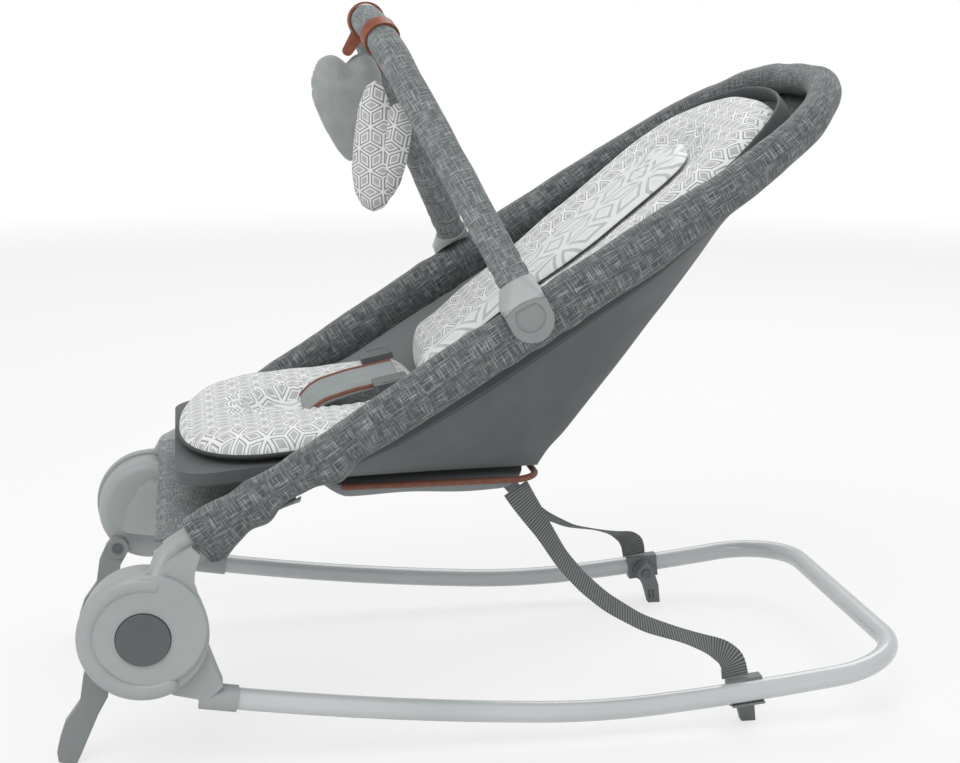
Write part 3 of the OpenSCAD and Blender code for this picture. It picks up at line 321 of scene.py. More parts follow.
def ripple(points, length, seed, waves=24):
    """Soft seeded unevenness of about that wavelength, mostly between -1 and 1: the mean of sine waves in
    random directions, scaled up."""
    draw = np.random.default_rng(seed)
    direction = unit(draw.normal(size=(waves, 3)))
    size = draw.uniform(0.6, 1.5, waves) * 2 * math.pi / length
    phase = draw.uniform(0, 2 * math.pi, waves)
    return np.sin(points @ (direction * size[:, None]).T + phase).mean(-1) * math.sqrt(waves) / 2


def smooth_step(value, low, high):
    """0 below low, 1 above high, and a smooth S between them."""
    share = np.clip((value - low) / (high - low), 0, 1)
    return share * share * (3 - 2 * share)


def bell(value, centre, width):
    """A smooth hump, 1 at the centre: the exponential of minus the square of distance over width."""
    return np.exp(-((value - centre) / width) ** 2)


def looped(values, loops):
    """Grid values with the first row, or column, once more at the end where the grid closes that way."""
    values = np.concatenate([values, values[:1]], 0) if loops[0] else values
    return np.concatenate([values, values[:, :1]], 1) if loops[1] else values


def cell_corners(values):
    """The values at the four corners of each cell of a grid."""
    return np.stack([values[:-1, :-1], values[1:, :-1], values[1:, 1:], values[:-1, 1:]], 2)


def cloth_map(grid, even):
    """UV in metres along a grid, from its middle line, by each line's own length, or by the mean length
    where even is set."""
    runs = []
    for axis in (0, 1):
        step = np.linalg.norm(np.diff(grid, axis=axis), axis=2)
        if even:
            step = np.broadcast_to(step.mean(1 - axis, keepdims=True), step.shape)
        length = np.insert(np.cumsum(step, axis=axis), 0, 0, axis=axis)
        runs.append(length - np.take(length, [length.shape[axis] // 2], axis=axis))
    return np.stack(runs, -1)


def piece_of(name, grids, finishes, loops=(False, False), weld=1e-5, solid=True, levels=0, even=False,
             marks=None, maps=None):
    """One mesh over grids of points, each rows by columns by xyz. The UV map is worked out from each grid or
    given as maps. Marks are a value for each point of each grid, which a finish reads as the attribute
    "mark"."""
    vertices, faces, corners, kinds, count = [], [], [], [], 0
    for order, grid in enumerate(grids):
        rows, columns = grid.shape[:2]
        index = looped(np.arange(rows * columns).reshape(rows, columns) + count, loops)
        map_uv = looped(maps[order], loops) if maps else cloth_map(looped(grid, loops), even)
        faces.append(cell_corners(index).reshape(-1, 4))
        corners.append(cell_corners(map_uv).reshape(-1, 2))
        kinds.append(np.full(len(faces[-1]), order % len(finishes)))
        vertices.append(grid.reshape(-1, 3))
        count += rows * columns
    mesh = bpy.data.meshes.new(name)
    mesh.from_pydata(np.concatenate(vertices).tolist(), [], np.concatenate(faces).tolist())
    mesh.uv_layers.new(name="cloth").data.foreach_set(
        "uv", np.concatenate(corners).astype(np.float32).ravel())
    if marks is not None:
        mesh.attributes.new("mark", "FLOAT", "POINT").data.foreach_set(
            "value", np.concatenate([np.ravel(mark) for mark in marks]).astype(np.float32))
    for finish in finishes:
        mesh.materials.append(finish.material)
    mesh.polygons.foreach_set("material_index", np.concatenate(kinds).astype(np.int32))
    mesh.polygons.foreach_set("use_smooth", np.ones(len(mesh.polygons), bool))
    made = in_scene(name, mesh)
    close(made, weld, solid)
    if levels:
        finer = made.modifiers.new("finer", "SUBSURF")
        finer.levels = finer.render_levels = levels
    return made


def close(made, weld=1e-5, solid=True):
    """Merges points that coincide and, on a closed piece, turns every face outwards."""
    shape = bmesh.new()
    shape.from_mesh(made.data)
    bmesh.ops.remove_doubles(shape, verts=shape.verts, dist=weld)
    if solid:
        bmesh.ops.recalc_face_normals(shape, faces=shape.faces)
    shape.to_mesh(made.data)
    shape.free()


def woven(name, base, light, dark, turn=0.0):
    """Woven melange on the UV map: thin light threads along warp and weft over a dark ground. A place is as
    light as the lighter of its two threads, with a little of both."""
    cloth = Finish(name, base, 0.85, Sheen_Weight=0.18, Sheen_Roughness=0.5)
    warp = cloth.noise(cloth.point("UV", (60, 1500, 1), (0, 0, turn)), 1.0, 2.0, 0.6)
    weft = cloth.noise(cloth.point("UV", (1500, 60, 1), (0, 0, turn)), 1.0, 2.0, 0.6)
    peak = cloth.math("MULTIPLY", cloth.math("MAXIMUM", warp, weft), 0.6)
    both = cloth.math("MULTIPLY", cloth.math("ADD", warp, weft), 0.2)
    thread = cloth.math("ADD", peak, both)
    shade = cloth.add("MapRange", {"Value": thread, "From Min": 0.44, "From Max": 0.66})
    cloth.colour(cloth.ramp(shade, (0.1, dark), (0.5, base), (0.95, light)))
    cloth.bump(thread, 0.0005, 0.8)
    return cloth


melange = woven("woven_melange", "#666b6c", "#a9aeae", "#44494a")

places, outward, run = seat_rail(start=0.079, step=0.0058)
foot = np.minimum(run, run[-1] - run)[:, None]
along = places[:, :1]
turn = full_turn(40)[None, :]


def hem(u):
    """Depth of the sleeve's hem below the tube's centre line: straight lines between a few depths."""
    return np.interp(u, [0.08, 0.19, 0.26, 0.53, 0.612, 0.781],
                     [0.0165, 0.0165, 0.0225, 0.0245, 0.0175, 0.0115])


hang = hem(along) + 0.001
# The roll is fuller along the seat, flares at its foot ends and is drawn in under the clips
roll_r, fuller, flare, pinch = 0.0132, 0.0022, 0.004, 0.0026
top_r = roll_r + fuller * smooth_step(along, 0.2, 0.36) - fuller * smooth_step(along, 0.5, 0.62)
top_r = top_r + flare * bell(foot, 0.0, 0.03) - pinch * bell(along, clip_u, 0.022)
low_r = 0.0098
# The section is a drop: a round top over the tube and a narrower hem hanging below it
height = np.where(np.sin(turn) > 0, top_r * np.sin(turn), -hang * np.abs(np.sin(turn)) ** 1.15)
girth = top_r + (low_r - top_r) * smooth_step(-height, 0.0, 0.024)
side = np.sign(np.cos(turn)) * np.abs(np.cos(turn)) ** 0.8 * girth
shape = np.stack([places[:, :1] + outward[:, :1] * side, places[:, 1:] + outward[:, 1:] * side,
                  rail_v + height], -1)
direction = np.stack([outward[:, :1] * np.cos(turn), outward[:, 1:] * np.cos(turn),
                      np.broadcast_to(np.sin(turn), side.shape)], -1)
crease = ripple(shape * [0.55, 1.0, 1.3], length=0.05, seed=3) * 0.0012
crease += ripple(shape, length=0.022, seed=4) * 0.0004
# Drag lines run off the clips, and the open foot ends ruffle
crease += 0.0010 * bell(along, clip_u, 0.05) * np.sin((along - clip_u) * 210 + 3 * turn)
ruffle = (1 - smooth_step(foot, 0.03, 0.2)) * 0.0028 * ripple(shape * [1, 1, 0.4], length=0.026, seed=5)
flap = np.clip(-np.sin(turn), 0, 1) * (0.010 * bell(foot, 0.012, 0.02) + 0.007 * bell(foot, 0.055, 0.012)
                                       + 0.010 * bell(foot, 0.128, 0.014))
shape = shape + direction * (crease + ruffle)[..., None]
shape[..., 2] -= flap
rail_sleeve = piece_of("rail_sleeve", [in_seat(shape[..., 0], shape[..., 1], shape[..., 2])], [melange],
                       loops=(False, True), solid=False, levels=1, even=True)
# The cloth gets its thickness first and its finer mesh after that
thickness = rail_sleeve.modifiers.new("cloth", "SOLIDIFY")
thickness.thickness, thickness.offset = 0.0015, 1
rail_sleeve.modifiers.move(1, 0)
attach(rail_sleeve, "seat")
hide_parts("seat_sleeve")

# ---- Hammock shell ----
# Smooth slate cloth that falls from the sleeve's seam to a level floor and rises along the back. A band with
# topstitching follows its rim. Inside it is a lighter lining, and dark melange round the head.

# Its floor is level at floor_z, as far as floor_u, and floor_w wide each way. The back rises on to back_u
floor_u, back_u, floor_z, floor_w = 0.355, 0.677, 0.232, 0.116
shell_start, shell_end, shell_wall = 0.19, 0.7636, 0.004
# The wall's part of the way from the rim to the middle
wall_share = 0.58


def rim_y(u):
    """Half the distance between the rails: even along the legs, then the corner's circle, then the bow's."""
    straight = np.where(u < rail_end, rail_y, rail_y - corner_r + np.sqrt(
        np.maximum(corner_r ** 2 - (u - rail_end) ** 2, 0)))
    bow = np.sqrt(np.maximum(bow_r ** 2 - (u - bow_u) ** 2, 0))
    return np.where(u < rail_end + corner_r * math.cos(bow_turn), straight, bow)


def level_at(u):
    """Where the level of the floor lies, measured square to the slope."""
    return (floor_z - hub[2] - u * math.sin(slope)) / math.cos(slope)


def shell_section(u, share, inset):
    """Points y, v of the shell, where share 0 is the rim and 1 the middle line. The wall runs in as a power
    of the share and bulges as half a sine, and the floor sags as a quarter sine. Inset moves both inwards."""
    rim = rail_v - hem(u) - 0.0004
    rise = np.clip((u - floor_u) / (back_u - floor_u), 0, 1)
    rise = np.where(rise < 0.85, rise * 1.03, 0.8755 + 0.1245 * smooth_step(rise, 0.85, 1))
    deep = np.where(u < floor_u, level_at(u), level_at(floor_u) + (rim - 0.003 - level_at(floor_u)) * rise)
    deep = np.minimum(deep, rim - 0.006) + inset
    edge = rim_y(u) - 0.001 - inset
    foot_y = np.minimum(floor_w, edge * 0.9) - inset * 0.6
    drop = rim - deep
    wall, base = share / wall_share, (share - wall_share) / (1 - wall_share)
    wall_y = edge + (foot_y - edge) * np.clip(wall, 0, 1) ** 1.15
    y = np.where(share < wall_share, wall_y, foot_y * (1 - base))
    v = np.where(share < wall_share, rim - drop * wall - 0.03 * drop * np.sin(math.pi * wall),
                 deep - 0.004 * np.sin(math.pi / 2 * base) * np.clip(drop / 0.04, 0, 1))
    return y, v


def outwards(grid):
    """Unit normals of a grid of points: its columns' direction crossed with its rows'."""
    normal = np.cross(np.gradient(grid, axis=1), np.gradient(grid, axis=0))
    return normal / np.maximum(np.linalg.norm(normal, axis=2, keepdims=True), 1e-12)


def with_edges(outer, inner):
    """Two grids of the same size and the four strips that join their edges."""
    ends = [np.stack([outer[k], inner[k]]) for k in (0, -1)]
    sides = [np.stack([outer[:, k], inner[:, k]]) for k in (0, -1)]
    return [outer, inner, *ends, *sides]


def thick(name, outer, inner, finishes, marks=None):
    """A closed piece between an outer and an inner grid, each with its finish. Its edges have the outer
    grid's finish."""
    marks = None if marks is None else with_edges(marks, marks)
    return piece_of(name, with_edges(outer, inner), finishes + [finishes[0]] * 4, marks=marks)


def rows_between(*stops):
    """Even steps between stops, given as value, count, value, count, ..., value."""
    parts = [np.linspace(stops[k], stops[k + 2], stops[k + 1] + 1)[:-1] for k in range(0, len(stops) - 2, 2)]
    return np.append(np.concatenate(parts), stops[-1])


def fine_weave(cloth, axes):
    """Relief of a tight plain weave: waves along two axes times each other, with a little noise."""
    waves = [cloth.add("TexWave", {"Vector": cloth.point(), "Scale": 420.0}, out=1, bands_direction=axis)
             for axis in axes]
    weave = cloth.math("MULTIPLY", *waves)
    cloth.bump(cloth.math("ADD", weave, cloth.noise(cloth.point(), 900.0)), 0.00008, 0.7)


slate = Finish("slate_cloth", "#5d6162", 0.72, Sheen_Weight=0.12, Sheen_Roughness=0.4)
# The mark is the distance from the rim, and 50 times that is a place on the band's ramp
below = slate.add("Attribute", {}, out=2, attribute_name="mark")
tone = slate.ramp(slate.noise(slate.point(), 22.0, 4.0, 0.6), (0.3, "#585c5d"), (0.7, "#616667"))
band = slate.ramp(slate.math("MULTIPLY", below, 50.0),
                  (0.0, "#202223"), (0.05, "#2a2c2d"), (0.09, "#9fa3a3"), (0.48, "#a8acac"),
                  (0.53, "#d4d7d7"), (0.62, "#d8dbdb"), (0.66, "#8d9191"), (0.72, "#ffffff"))
slate.colour(slate.mix(1.0, tone, band, "MULTIPLY"))
fine_weave(slate, "XZ")
stitch = slate.add("TexNoise", {"Vector": slate.point(), "Scale": 260.0}, out=0)
slate.bump(slate.math("MULTIPLY", stitch, slate.math("COMPARE", below, 0.0115)), 0.0002)

lining = Finish("lining_cloth", "#8b9091", 0.75, Sheen_Weight=0.15)
head_side = lining.add("MapRange", {"Value": lining.add("SeparateXYZ", {0: lining.point()}, out=0),
                                    "From Min": 0.08, "From Max": 0.12})
dark_melange = lining.ramp(lining.noise(lining.point(scale=(500, 90, 140)), 1.0, 3.0, 0.6),
                           (0.3, "#3a3e3f"), (0.55, "#53585a"), (0.75, "#6e7374"))
lining.colour(lining.mix(head_side, linear("#8b9091"), dark_melange))
lining.bump(lining.noise(lining.point(), 700.0, 3.0), 0.0002, 0.7)

stations = rows_between(shell_start, 30, floor_u, 60, rail_end, 44, shell_end)[:, None]
# Shares are closer together near the rim, where the band is, and run to the middle and back
band_share = 0.07
share = np.concatenate([np.linspace(0, band_share, 12)[:-1], np.linspace(band_share, 1, 30)])
share = np.concatenate([share, share[-2::-1]])[None, :]
sign = np.where(np.arange(share.size) < share.size // 2, -1, 1)[None, :]


def shell_grid(inset):
    """The section at every station, from the near rim to the far one. Averaging with the neighbours, three
    times over, rounds its corners, apart from the band at each rim."""
    y, v = shell_section(stations, share, inset)
    grid = np.stack([np.broadcast_to(stations, y.shape), sign * y, v], -1)
    for _ in range(3):
        inside = grid[:, 12:-12]
        inside[:] = 0.5 * inside + 0.25 * (grid[:, 11:-13] + grid[:, 13:-11])
    return in_seat(grid[..., 0], grid[..., 1], grid[..., 2])


outer = shell_grid(0.0)
rim_run = np.insert(np.cumsum(np.linalg.norm(np.diff(outer, axis=1), axis=2), axis=1), 0, 0, axis=1)
rim_run = np.minimum(rim_run, rim_run[:, -1:] - rim_run)
slack = smooth_step(rim_run, 0.012, 0.05) * smooth_step(stations, 0.2, 0.28)
relief = 0.0012 * ripple(outer, length=0.11, seed=7) - 0.0005
# A deep fold where the wall turns under at the rear of the floor, and a shallow step at the band's edge
relief -= 0.0022 * bell(stations, 0.372, 0.013) * bell(rim_run, 0.115, 0.035)
outer = outer + outwards(outer) * (slack * relief - 0.0006 * smooth_step(rim_run, 0.0105, 0.0125))[..., None]
inner = shell_grid(shell_wall)
seat_cloth = thick("hammock_cloth", outer, inner, [slate, lining], marks=rim_run)
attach(seat_cloth, "seat")
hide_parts("seat_shell")

# ---- Foot apron ----
# Woven melange stretched between the rails at the foot end. It lies nearly level in the middle and climbs
# to the sleeve at both sides, and a shallow step marks the hem along its front edge.

# The same melange as the sleeve, with every colour lighter: painted light on the apron's upturned cloth.
apron_melange = woven("apron_melange", "#868b8c", "#bcc1c1", "#636869")

apron_front, apron_rear, apron_t = 0.012, 0.135, 0.002
apron_w, apron_z, apron_rise = 0.1745, 0.200, 0.008
apron_x = rows_between(apron_front, 8, 0.024, 24, apron_rear)[:, None]
# It is a little wider past the hubs
apron_y = np.linspace(-1, 1, 97)[None, :] * (apron_w + 0.0031 * smooth_step(apron_x, 0.046, 0.060))
reach = (apron_x - apron_front) / (apron_rear - apron_front)
apron_mid = apron_z + apron_rise * reach
apron_side = hub[2] + (apron_x + 0.012) * math.tan(slope) + 0.022 * math.cos(slope)
climb = (np.abs(apron_y) / rail_y) ** 4 * smooth_step(1.4 * reach, 0, 1)
apron_height = apron_mid + (np.minimum(apron_side, apron_mid + 0.04) - apron_mid) * climb
apron_low = np.stack(np.broadcast_arrays(hub[0] + apron_x, apron_y, apron_height), -1)
apron_low[..., 2] += 0.0009 * ripple(apron_low * [0.5, 1, 1], length=0.06, seed=11)
apron_low[..., 2] -= 0.0009 * smooth_step(-apron_x, -0.020, -0.017)
apron_top = apron_low + [0, 0, apron_t]
foot_apron = thick("foot_apron", apron_low, apron_top, [apron_melange, apron_melange])
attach(foot_apron, "seat")
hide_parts("front_apron")

# ---- Board under the seat pad ----
# A stiff board in a tight cover of slate cloth. It lies over the hammock's floor and carries the seat pad,
# which it lifts a little towards the back.


def smooth_cloth(name, light, dark, roughness=0.72):
    """Tight plain cloth: soft clouds between two shades, and a fine weave."""
    cloth = Finish(name, light, roughness, Sheen_Weight=0.12, Sheen_Roughness=0.4)
    cloth.colour(cloth.ramp(cloth.noise(cloth.point(), 24.0, 4.0, 0.6), (0.3, dark), (0.7, light)))
    fine_weave(cloth, "XY")
    return cloth


dress(["seat_board"], smooth_cloth("board_cloth", "#5f6465", "#575c5d"))

# ---- Bottom pan ----
# A shallow padded bag of mid grey cloth sewn on under the hammock's floor, with brown piping in the seam
# round its top edge. The straps to the rocker start from it.


def superellipse(length, half, power, count=60):
    """A quarter superellipse from its tip (0, 0) to (length, half)."""
    angle = np.linspace(0, math.pi / 2, count)
    return np.stack([length * (1 - np.cos(angle) ** (2 / power)), half * np.sin(angle) ** (2 / power)], -1)


def evenly(line, step):
    """A line of points taken again in even steps."""
    run = run_of(line)
    even = np.linspace(0, run[-1], int(run[-1] / step) + 1)
    return np.stack([np.interp(even, run, line[:, k]) for k in range(line.shape[1])], -1)


def eased(points, step, passes):
    """A line through given points, in even steps, with its corners eased by repeated averaging."""
    line = evenly(np.array(points, float), step)
    for _ in range(passes):
        line[1:-1] = 0.5 * line[1:-1] + 0.25 * (line[2:] + line[:-2])
    return line


def both_sides(half_line):
    """A closed outline symmetric about y = 0, from half of it that starts and ends there."""
    return np.concatenate([half_line * [1, -1], half_line[-2:0:-1]])


def round_ended(low, high, half, front, rear, step=0.004):
    """A closed outline along x whose ends are superellipses, each given by its length and power."""
    start = superellipse(front[0], half, front[1]) + [low, 0]
    end = superellipse(rear[0], half, rear[1])[::-1] * [-1, 1] + [high, 0]
    return both_sides(evenly(np.concatenate([start, end]), step))


def edge_gap(points, outline):
    """Distance of plan points from a closed outline."""
    ahead = np.roll(outline, -1, 0) - outline
    off = points[..., None, :] - outline
    share = np.clip((off * ahead).sum(-1) / (ahead ** 2).sum(-1), 0, 1)
    return np.linalg.norm(off - share[..., None] * ahead, axis=-1).min(-1)


def pillow(outline, spine, edge, top, seam, bottom, place, rings=34):
    """Upper and lower grids of a stuffed form, and their plan as a UV map. The plan runs from the spine to
    the outline. Both skins leave the seam there and reach their heights by a quarter ellipse as wide as the
    edge."""
    centre = np.stack([np.clip(outline[:, 0], *spine), 0 * outline[:, 0]], -1)
    out = np.sin(np.linspace(0, math.pi / 2, rings))[:, None, None]
    plan = centre + (outline - centre) * out
    swell = np.sqrt(1 - (1 - np.clip(edge_gap(plan, outline) / edge, 0, 1)) ** 2)
    a, y = plan[..., 0], plan[..., 1]
    seam = seam + 0 * a
    grids = [place(a, y, seam + (skin(a, y) - seam) * swell) for skin in (top, bottom)]
    return grids, [plan, plan]


def over_floor(a, y, h):
    """Plan x from the hub and height over the floor."""
    return np.stack(np.broadcast_arrays(hub[0] + a, y, h), -1)


def flat(height):
    """A level skin."""
    return lambda a, y: height + 0 * a


pan_cloth = smooth_cloth("pan_cloth", "#8a9092", "#7c8284")
pan_outline = round_ended(low=0.150, high=0.350, half=0.118, front=(0.026, 2.2), rear=(0.026, 2.2))


def pan_belly(a, y):
    """The pan's underside, which waves a little along its length, as a sine."""
    return 0.2075 + 0.0012 * np.sin(a * 60) + 0 * y


pan_grids, pan_maps = pillow(pan_outline, spine=(0.2, 0.3), edge=0.045, top=flat(0.2280), seam=0.2262,
                             bottom=pan_belly, place=over_floor)
pan = piece_of("pan_bag", pan_grids, [pan_cloth], loops=(False, True), maps=pan_maps)
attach(pan, "seat")
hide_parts("bottom_pan")

brown_trim = Finish("brown_piping", "#7b4a38", 0.6, Sheen_Weight=0.1)
brown_cloud = brown_trim.noise(brown_trim.point(), 260.0, 3.0)
brown_trim.colour(brown_trim.ramp(brown_cloud, (0.3, "#70412f"), (0.7, "#855341")))
brown_trim.bump(brown_trim.noise(brown_trim.point(), 900.0, 2.0), 0.0002)
dress(["pan_piping"], brown_trim)

# ---- Seat pad ----
# A stuffed pad in a cover printed with rows of diamonds, with dark piping in its seam. It is round at the
# front and has a hollow in its middle where the support's white tongue lies.


def diamonds(cloth, repeat):
    """Distance from the edge of the nearest diamond of a tiling on the UV map, 0 at its edge and 0.5 at its
    middle. The nearest centre of a hexagonal cell is found first, then the three diamonds that meet there."""
    half_x, half_y = 0.5, math.sqrt(3) / 2
    place = cloth.point("UV", (1 / repeat, 1 / repeat, 1), (0, 0, math.pi / 2))
    shifted = cloth.add("VectorMath", {0: place, 1: (half_x, half_y, 0)}, operation="ADD")
    wraps = [cloth.add("VectorMath", {0: spot, 1: (half_x, half_y, 1), 2: (-half_x, -half_y, -1)},
                       operation="WRAP") for spot in (place, shifted)]
    sizes = [cloth.add("VectorMath", {0: wrap}, out=1, operation="LENGTH") for wrap in wraps]
    first = cloth.math("LESS_THAN", *sizes)
    near = cloth.add("Mix", {0: first, 4: wraps[1], 5: wraps[0]}, out=1, data_type="VECTOR")
    depth = None
    for degrees in (30, 150, 270):
        c, s = math.cos(math.radians(degrees)), math.sin(math.radians(degrees))
        axes = [(math.sqrt(3) * c - k * s, math.sqrt(3) * s + k * c, 0) for k in (1, -1)]
        parts = [cloth.add("VectorMath", {0: near, 1: axis}, out=1, operation="DOT_PRODUCT") for axis in axes]
        inner_gap = cloth.math("MINIMUM", *parts)
        outer_gap = cloth.math("SUBTRACT", 1.0, cloth.math("MAXIMUM", *parts))
        inside = cloth.math("MINIMUM", inner_gap, outer_gap)
        depth = inside if depth is None else cloth.math("MAXIMUM", depth, inside)
    return depth


def printed(name, repeat, sheen, roughness, *bands):
    """White cloth with a printed diamond pattern. Each band is a distance from a diamond's edge, and the
    colour from there inwards."""
    cloth = Finish(name, "#e6e7e6", roughness, Sheen_Weight=sheen)
    cloth.colour(cloth.ramp(diamonds(cloth, repeat), *bands, interpolation="CONSTANT"))
    cloth.bump(cloth.noise(cloth.point("UV"), 1300.0, 2.0), 0.00012, 0.7)
    cloth.bump(cloth.noise(cloth.point("UV"), 90.0, 3.0), 0.0004, 0.5)
    return cloth


def circles(path, aside, over, radius, sides=10):
    """Circles about the points of a path, each in the plane of two unit directions, from the first on."""
    angle = full_turn(sides)[:, None]
    return path[:, None] + radius * (np.cos(angle) * aside[:, None] + np.sin(angle) * over[:, None])


def tube_round(path, radius):
    """A round tube on a closed path: circles square to the line through the points before and after."""
    ahead = unit(np.roll(path, -1, 0) - np.roll(path, 1, 0))
    aside = unit(np.cross(ahead, [0, 0, 1]))
    return circles(path, aside, np.cross(aside, ahead), radius)


def stuffing(a, y, length, seed, h=0.0):
    """Unevenness of a filled cover over its plan: ripples of about that wavelength."""
    return ripple(np.stack([a, y, h + 0 * a], -1), length, seed)


pad_print = printed("pad_print", 0.027, 0.1, 0.8,
                    (0.0, "#f0f1f1"), (0.09, "#a3a5a5"), (0.18, "#f0f1f1"), (0.27, "#bcbebe"))
dark_trim = smooth_cloth("dark_piping", "#3f4344", "#363a3b")

board_front, board_z, board_climb = 0.04, 0.249, 0.09


def on_board(a, y, h):
    """Plan x from the hub and height over the board, which climbs evenly from its front."""
    return over_floor(a, y, board_z + board_climb * (a - board_front) + h)


def seat_top(a, y):
    """Level stuffing, fuller along both sides, with a stadium-shaped hollow, folds that fan out from the
    hollow, and the unevenness of a filled cover."""
    to_hollow = np.hypot(a - np.clip(a, 0.148, 0.196), y)
    hollow = 1 - smooth_step(to_hollow, 0.037, 0.060)
    lumps = 0.0011 * stuffing(a, y, length=0.05, seed=21)
    pull = 0.0012 * np.sin(46 * np.arctan2(y, a - 0.15)) * bell(to_hollow, 0.062, 0.014)
    return 0.0235 + 0.0022 * bell(np.abs(y), 0.10, 0.03) - 0.0172 * hollow + lumps + pull


seat_seam, cord_r = 0.0075, 0.0017
seat_outline = round_ended(low=0.034, high=0.2668, half=0.146, front=(0.090, 2.4), rear=(0.014, 2.2))
grids, maps = pillow(seat_outline, spine=(0.10, 0.20), edge=0.030, top=seat_top, seam=seat_seam,
                     bottom=flat(0.0004), place=on_board, rings=44)
cushion = piece_of("seat_cushion", grids, [pad_print, dark_trim], loops=(False, True), maps=maps)
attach(cushion, "seat")
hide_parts("seat_pad")
seam_path = on_board(seat_outline[:, 0], seat_outline[:, 1], seat_seam)
seam_cord = piece_of("seat_cushion_piping", [tube_round(seam_path, cord_r)], [dark_trim], loops=(True, True))
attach(seam_cord, "seat")

# ---- Back pad ----
# The same printed cover over a longer pad that lies along the hammock's back, which lifts its sides. Its
# stuffing leaves a bed for the support and swells to a bolster all round it, fullest at the head.

back_slope, back_start = math.radians(39.4), (0.266, 0.270)


def on_back(a, y, h):
    """Places along the back pad, across, and over its underside, with the sides lifted by the hammock."""
    h = h + 0.004 * smooth_step(np.abs(y), 0.06, 0.146)
    return over_floor(back_start[0] + a * math.cos(back_slope) - h * math.sin(back_slope), y,
                      back_start[1] + a * math.sin(back_slope) + h * math.cos(back_slope))


# Half the outline of the support, which the pad's bed follows
drop_half = eased([(0.018, 0), (0.019, 0.020), (0.060, 0.025), (0.140, 0.034), (0.180, 0.052),
                   (0.215, 0.061), (0.300, 0.063), (0.322, 0.058), (0.336, 0.042), (0.345, 0)],
                  step=0.004, passes=5)


def back_top(a, y):
    """A level bed under the support, a bolster that swells away from the support's outline, and folds that
    fan out from it at the head."""
    half = np.interp(a, drop_half[:, 0], drop_half[:, 1], left=0, right=0)
    gap = edge_gap(np.stack([a, y], -1), both_sides(drop_half)) * np.where(np.abs(y) < half, -1, 1)
    bolster = (0.0070 + 0.0015 * smooth_step(a, 0.34, 0.38)) * smooth_step(gap, 0.0, 0.034)
    fan = 0.0011 * np.sin(26 * np.arctan2(y, a - 0.27)) * bell(gap, 0.016, 0.014) * smooth_step(a, 0.28, 0.33)
    lumps = 0.0012 * stuffing(a, y, length=0.05, seed=22) * smooth_step(gap, 0.0, 0.02)
    return 0.0256 + (bolster + fan + lumps) * smooth_step(a, 0.0, 0.05)


back_seam = 0.0100
back_outline = round_ended(low=0.010, high=0.4262, half=0.146, front=(0.030, 2.6), rear=(0.130, 2.3))
grids, maps = pillow(back_outline, spine=(0.09, 0.33), edge=0.030, top=back_top, seam=back_seam,
                     bottom=flat(0.0006), place=on_back, rings=50)
back_cushion = piece_of("back_cushion", grids, [pad_print, dark_trim], loops=(False, True), maps=maps)
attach(back_cushion, "seat")
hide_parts("back_pad")
seam_path = on_back(back_outline[:, 0], back_outline[:, 1], back_seam)
seam_cord = piece_of("back_cushion_piping", [tube_round(seam_path, cord_r)], [dark_trim], loops=(True, True))
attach(seam_cord, "seat")

# ---- Body support ----
# White satin with a large pale diamond print, stuffed as a teardrop on the back pad and gathered at its
# top. Its tongue lies in the hollow of the seat pad.

satin = printed("support_satin", 0.060, 0.25, 0.5,
                (0.0, "#e9ebeb"), (0.10, "#bcbfbf"), (0.22, "#e9ebeb"), (0.34, "#e3e5e5"))

# How far along the back the gathers meet
gather_a = 0.352


def drop_top(a, y):
    """A level skin with a little unevenness, whose gathers fan out from the top of the teardrop and fade."""
    from_top = np.hypot(gather_a - a, y)
    fan = 0.0016 * np.sin(24 * np.arctan2(y, gather_a - a))
    fan = fan * np.exp(-from_top / 0.05) * smooth_step(from_top, 0.008, 0.02)
    return 0.0375 + fan + 0.0008 * stuffing(a, y, length=0.045, seed=23)


def tongue_top(a, y):
    """Small waves across the tongue, as a sine along it."""
    return 0.0122 + 0.0005 * np.sin(a * 240) + 0 * y


drop_grids, drop_maps = pillow(both_sides(drop_half), spine=(0.06, 0.30), edge=0.024, top=drop_top,
                               seam=0.0300, bottom=flat(0.0278), place=on_back)
tongue_outline = round_ended(low=0.107, high=0.222, half=0.042, front=(0.042, 2), rear=(0.042, 2))
tongue_grids, tongue_maps = pillow(tongue_outline, spine=(0.145, 0.185), edge=0.014, top=tongue_top,
                                   seam=0.0085, bottom=flat(0.0070), place=on_board)
support = piece_of("support_cushion", drop_grids, [satin], loops=(False, True), maps=drop_maps)
tongue = piece_of("support_tongue", tongue_grids, [satin], loops=(False, True), maps=tongue_maps)
for cover in (support, tongue):
    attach(cover, "seat")
    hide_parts("body_support")

# ---- Harness ----
# A padded flap stands up from the seat pad and carries the buckles, with brown piping on its long edges.
# Two lengths of ribbed webbing run from the buckles to the sides of the seat.

crotch_cloth = smooth_cloth("crotch_cloth", "#949a9a", "#898f8f", 0.8)
flap_half, flap_t = 0.0448, 0.0036
flap_line = eased([(0.150, 0.272), (0.158, 0.281), (0.168, 0.2872), (0.194, 0.2950), (0.238, 0.3040)],
                  step=0.002, passes=6)
flap_ahead = unit(np.gradient(flap_line, axis=0))
flap_under = np.stack([flap_ahead[:, 1], -flap_ahead[:, 0]], -1)[:, None]
flap_y = np.linspace(-1, 1, 41)[None, :, None]
crown = 0.0012 * (1 - flap_y ** 4) + 0.0004 * np.sin(9 * flap_y)


def flap_skin(depth):
    """The flap's line carried across, at a depth below its top."""
    section = flap_line[:, None] + flap_under * depth
    return over_floor(section[..., 0], flap_half * flap_y[..., 0] + 0 * section[..., 0], section[..., 1])


flap = thick("crotch_flap", flap_skin(-crown), flap_skin(flap_t + 0 * crown), [crotch_cloth, crotch_cloth])
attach(flap, "seat")
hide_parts("crotch_pad")


def capped(rings, tips):
    """Rings with one more at each end that is a single point, the first or the last of the tips."""
    first, last = (np.broadcast_to(tips[k], rings[:1].shape) for k in (0, -1))
    return np.concatenate([first, rings, last])


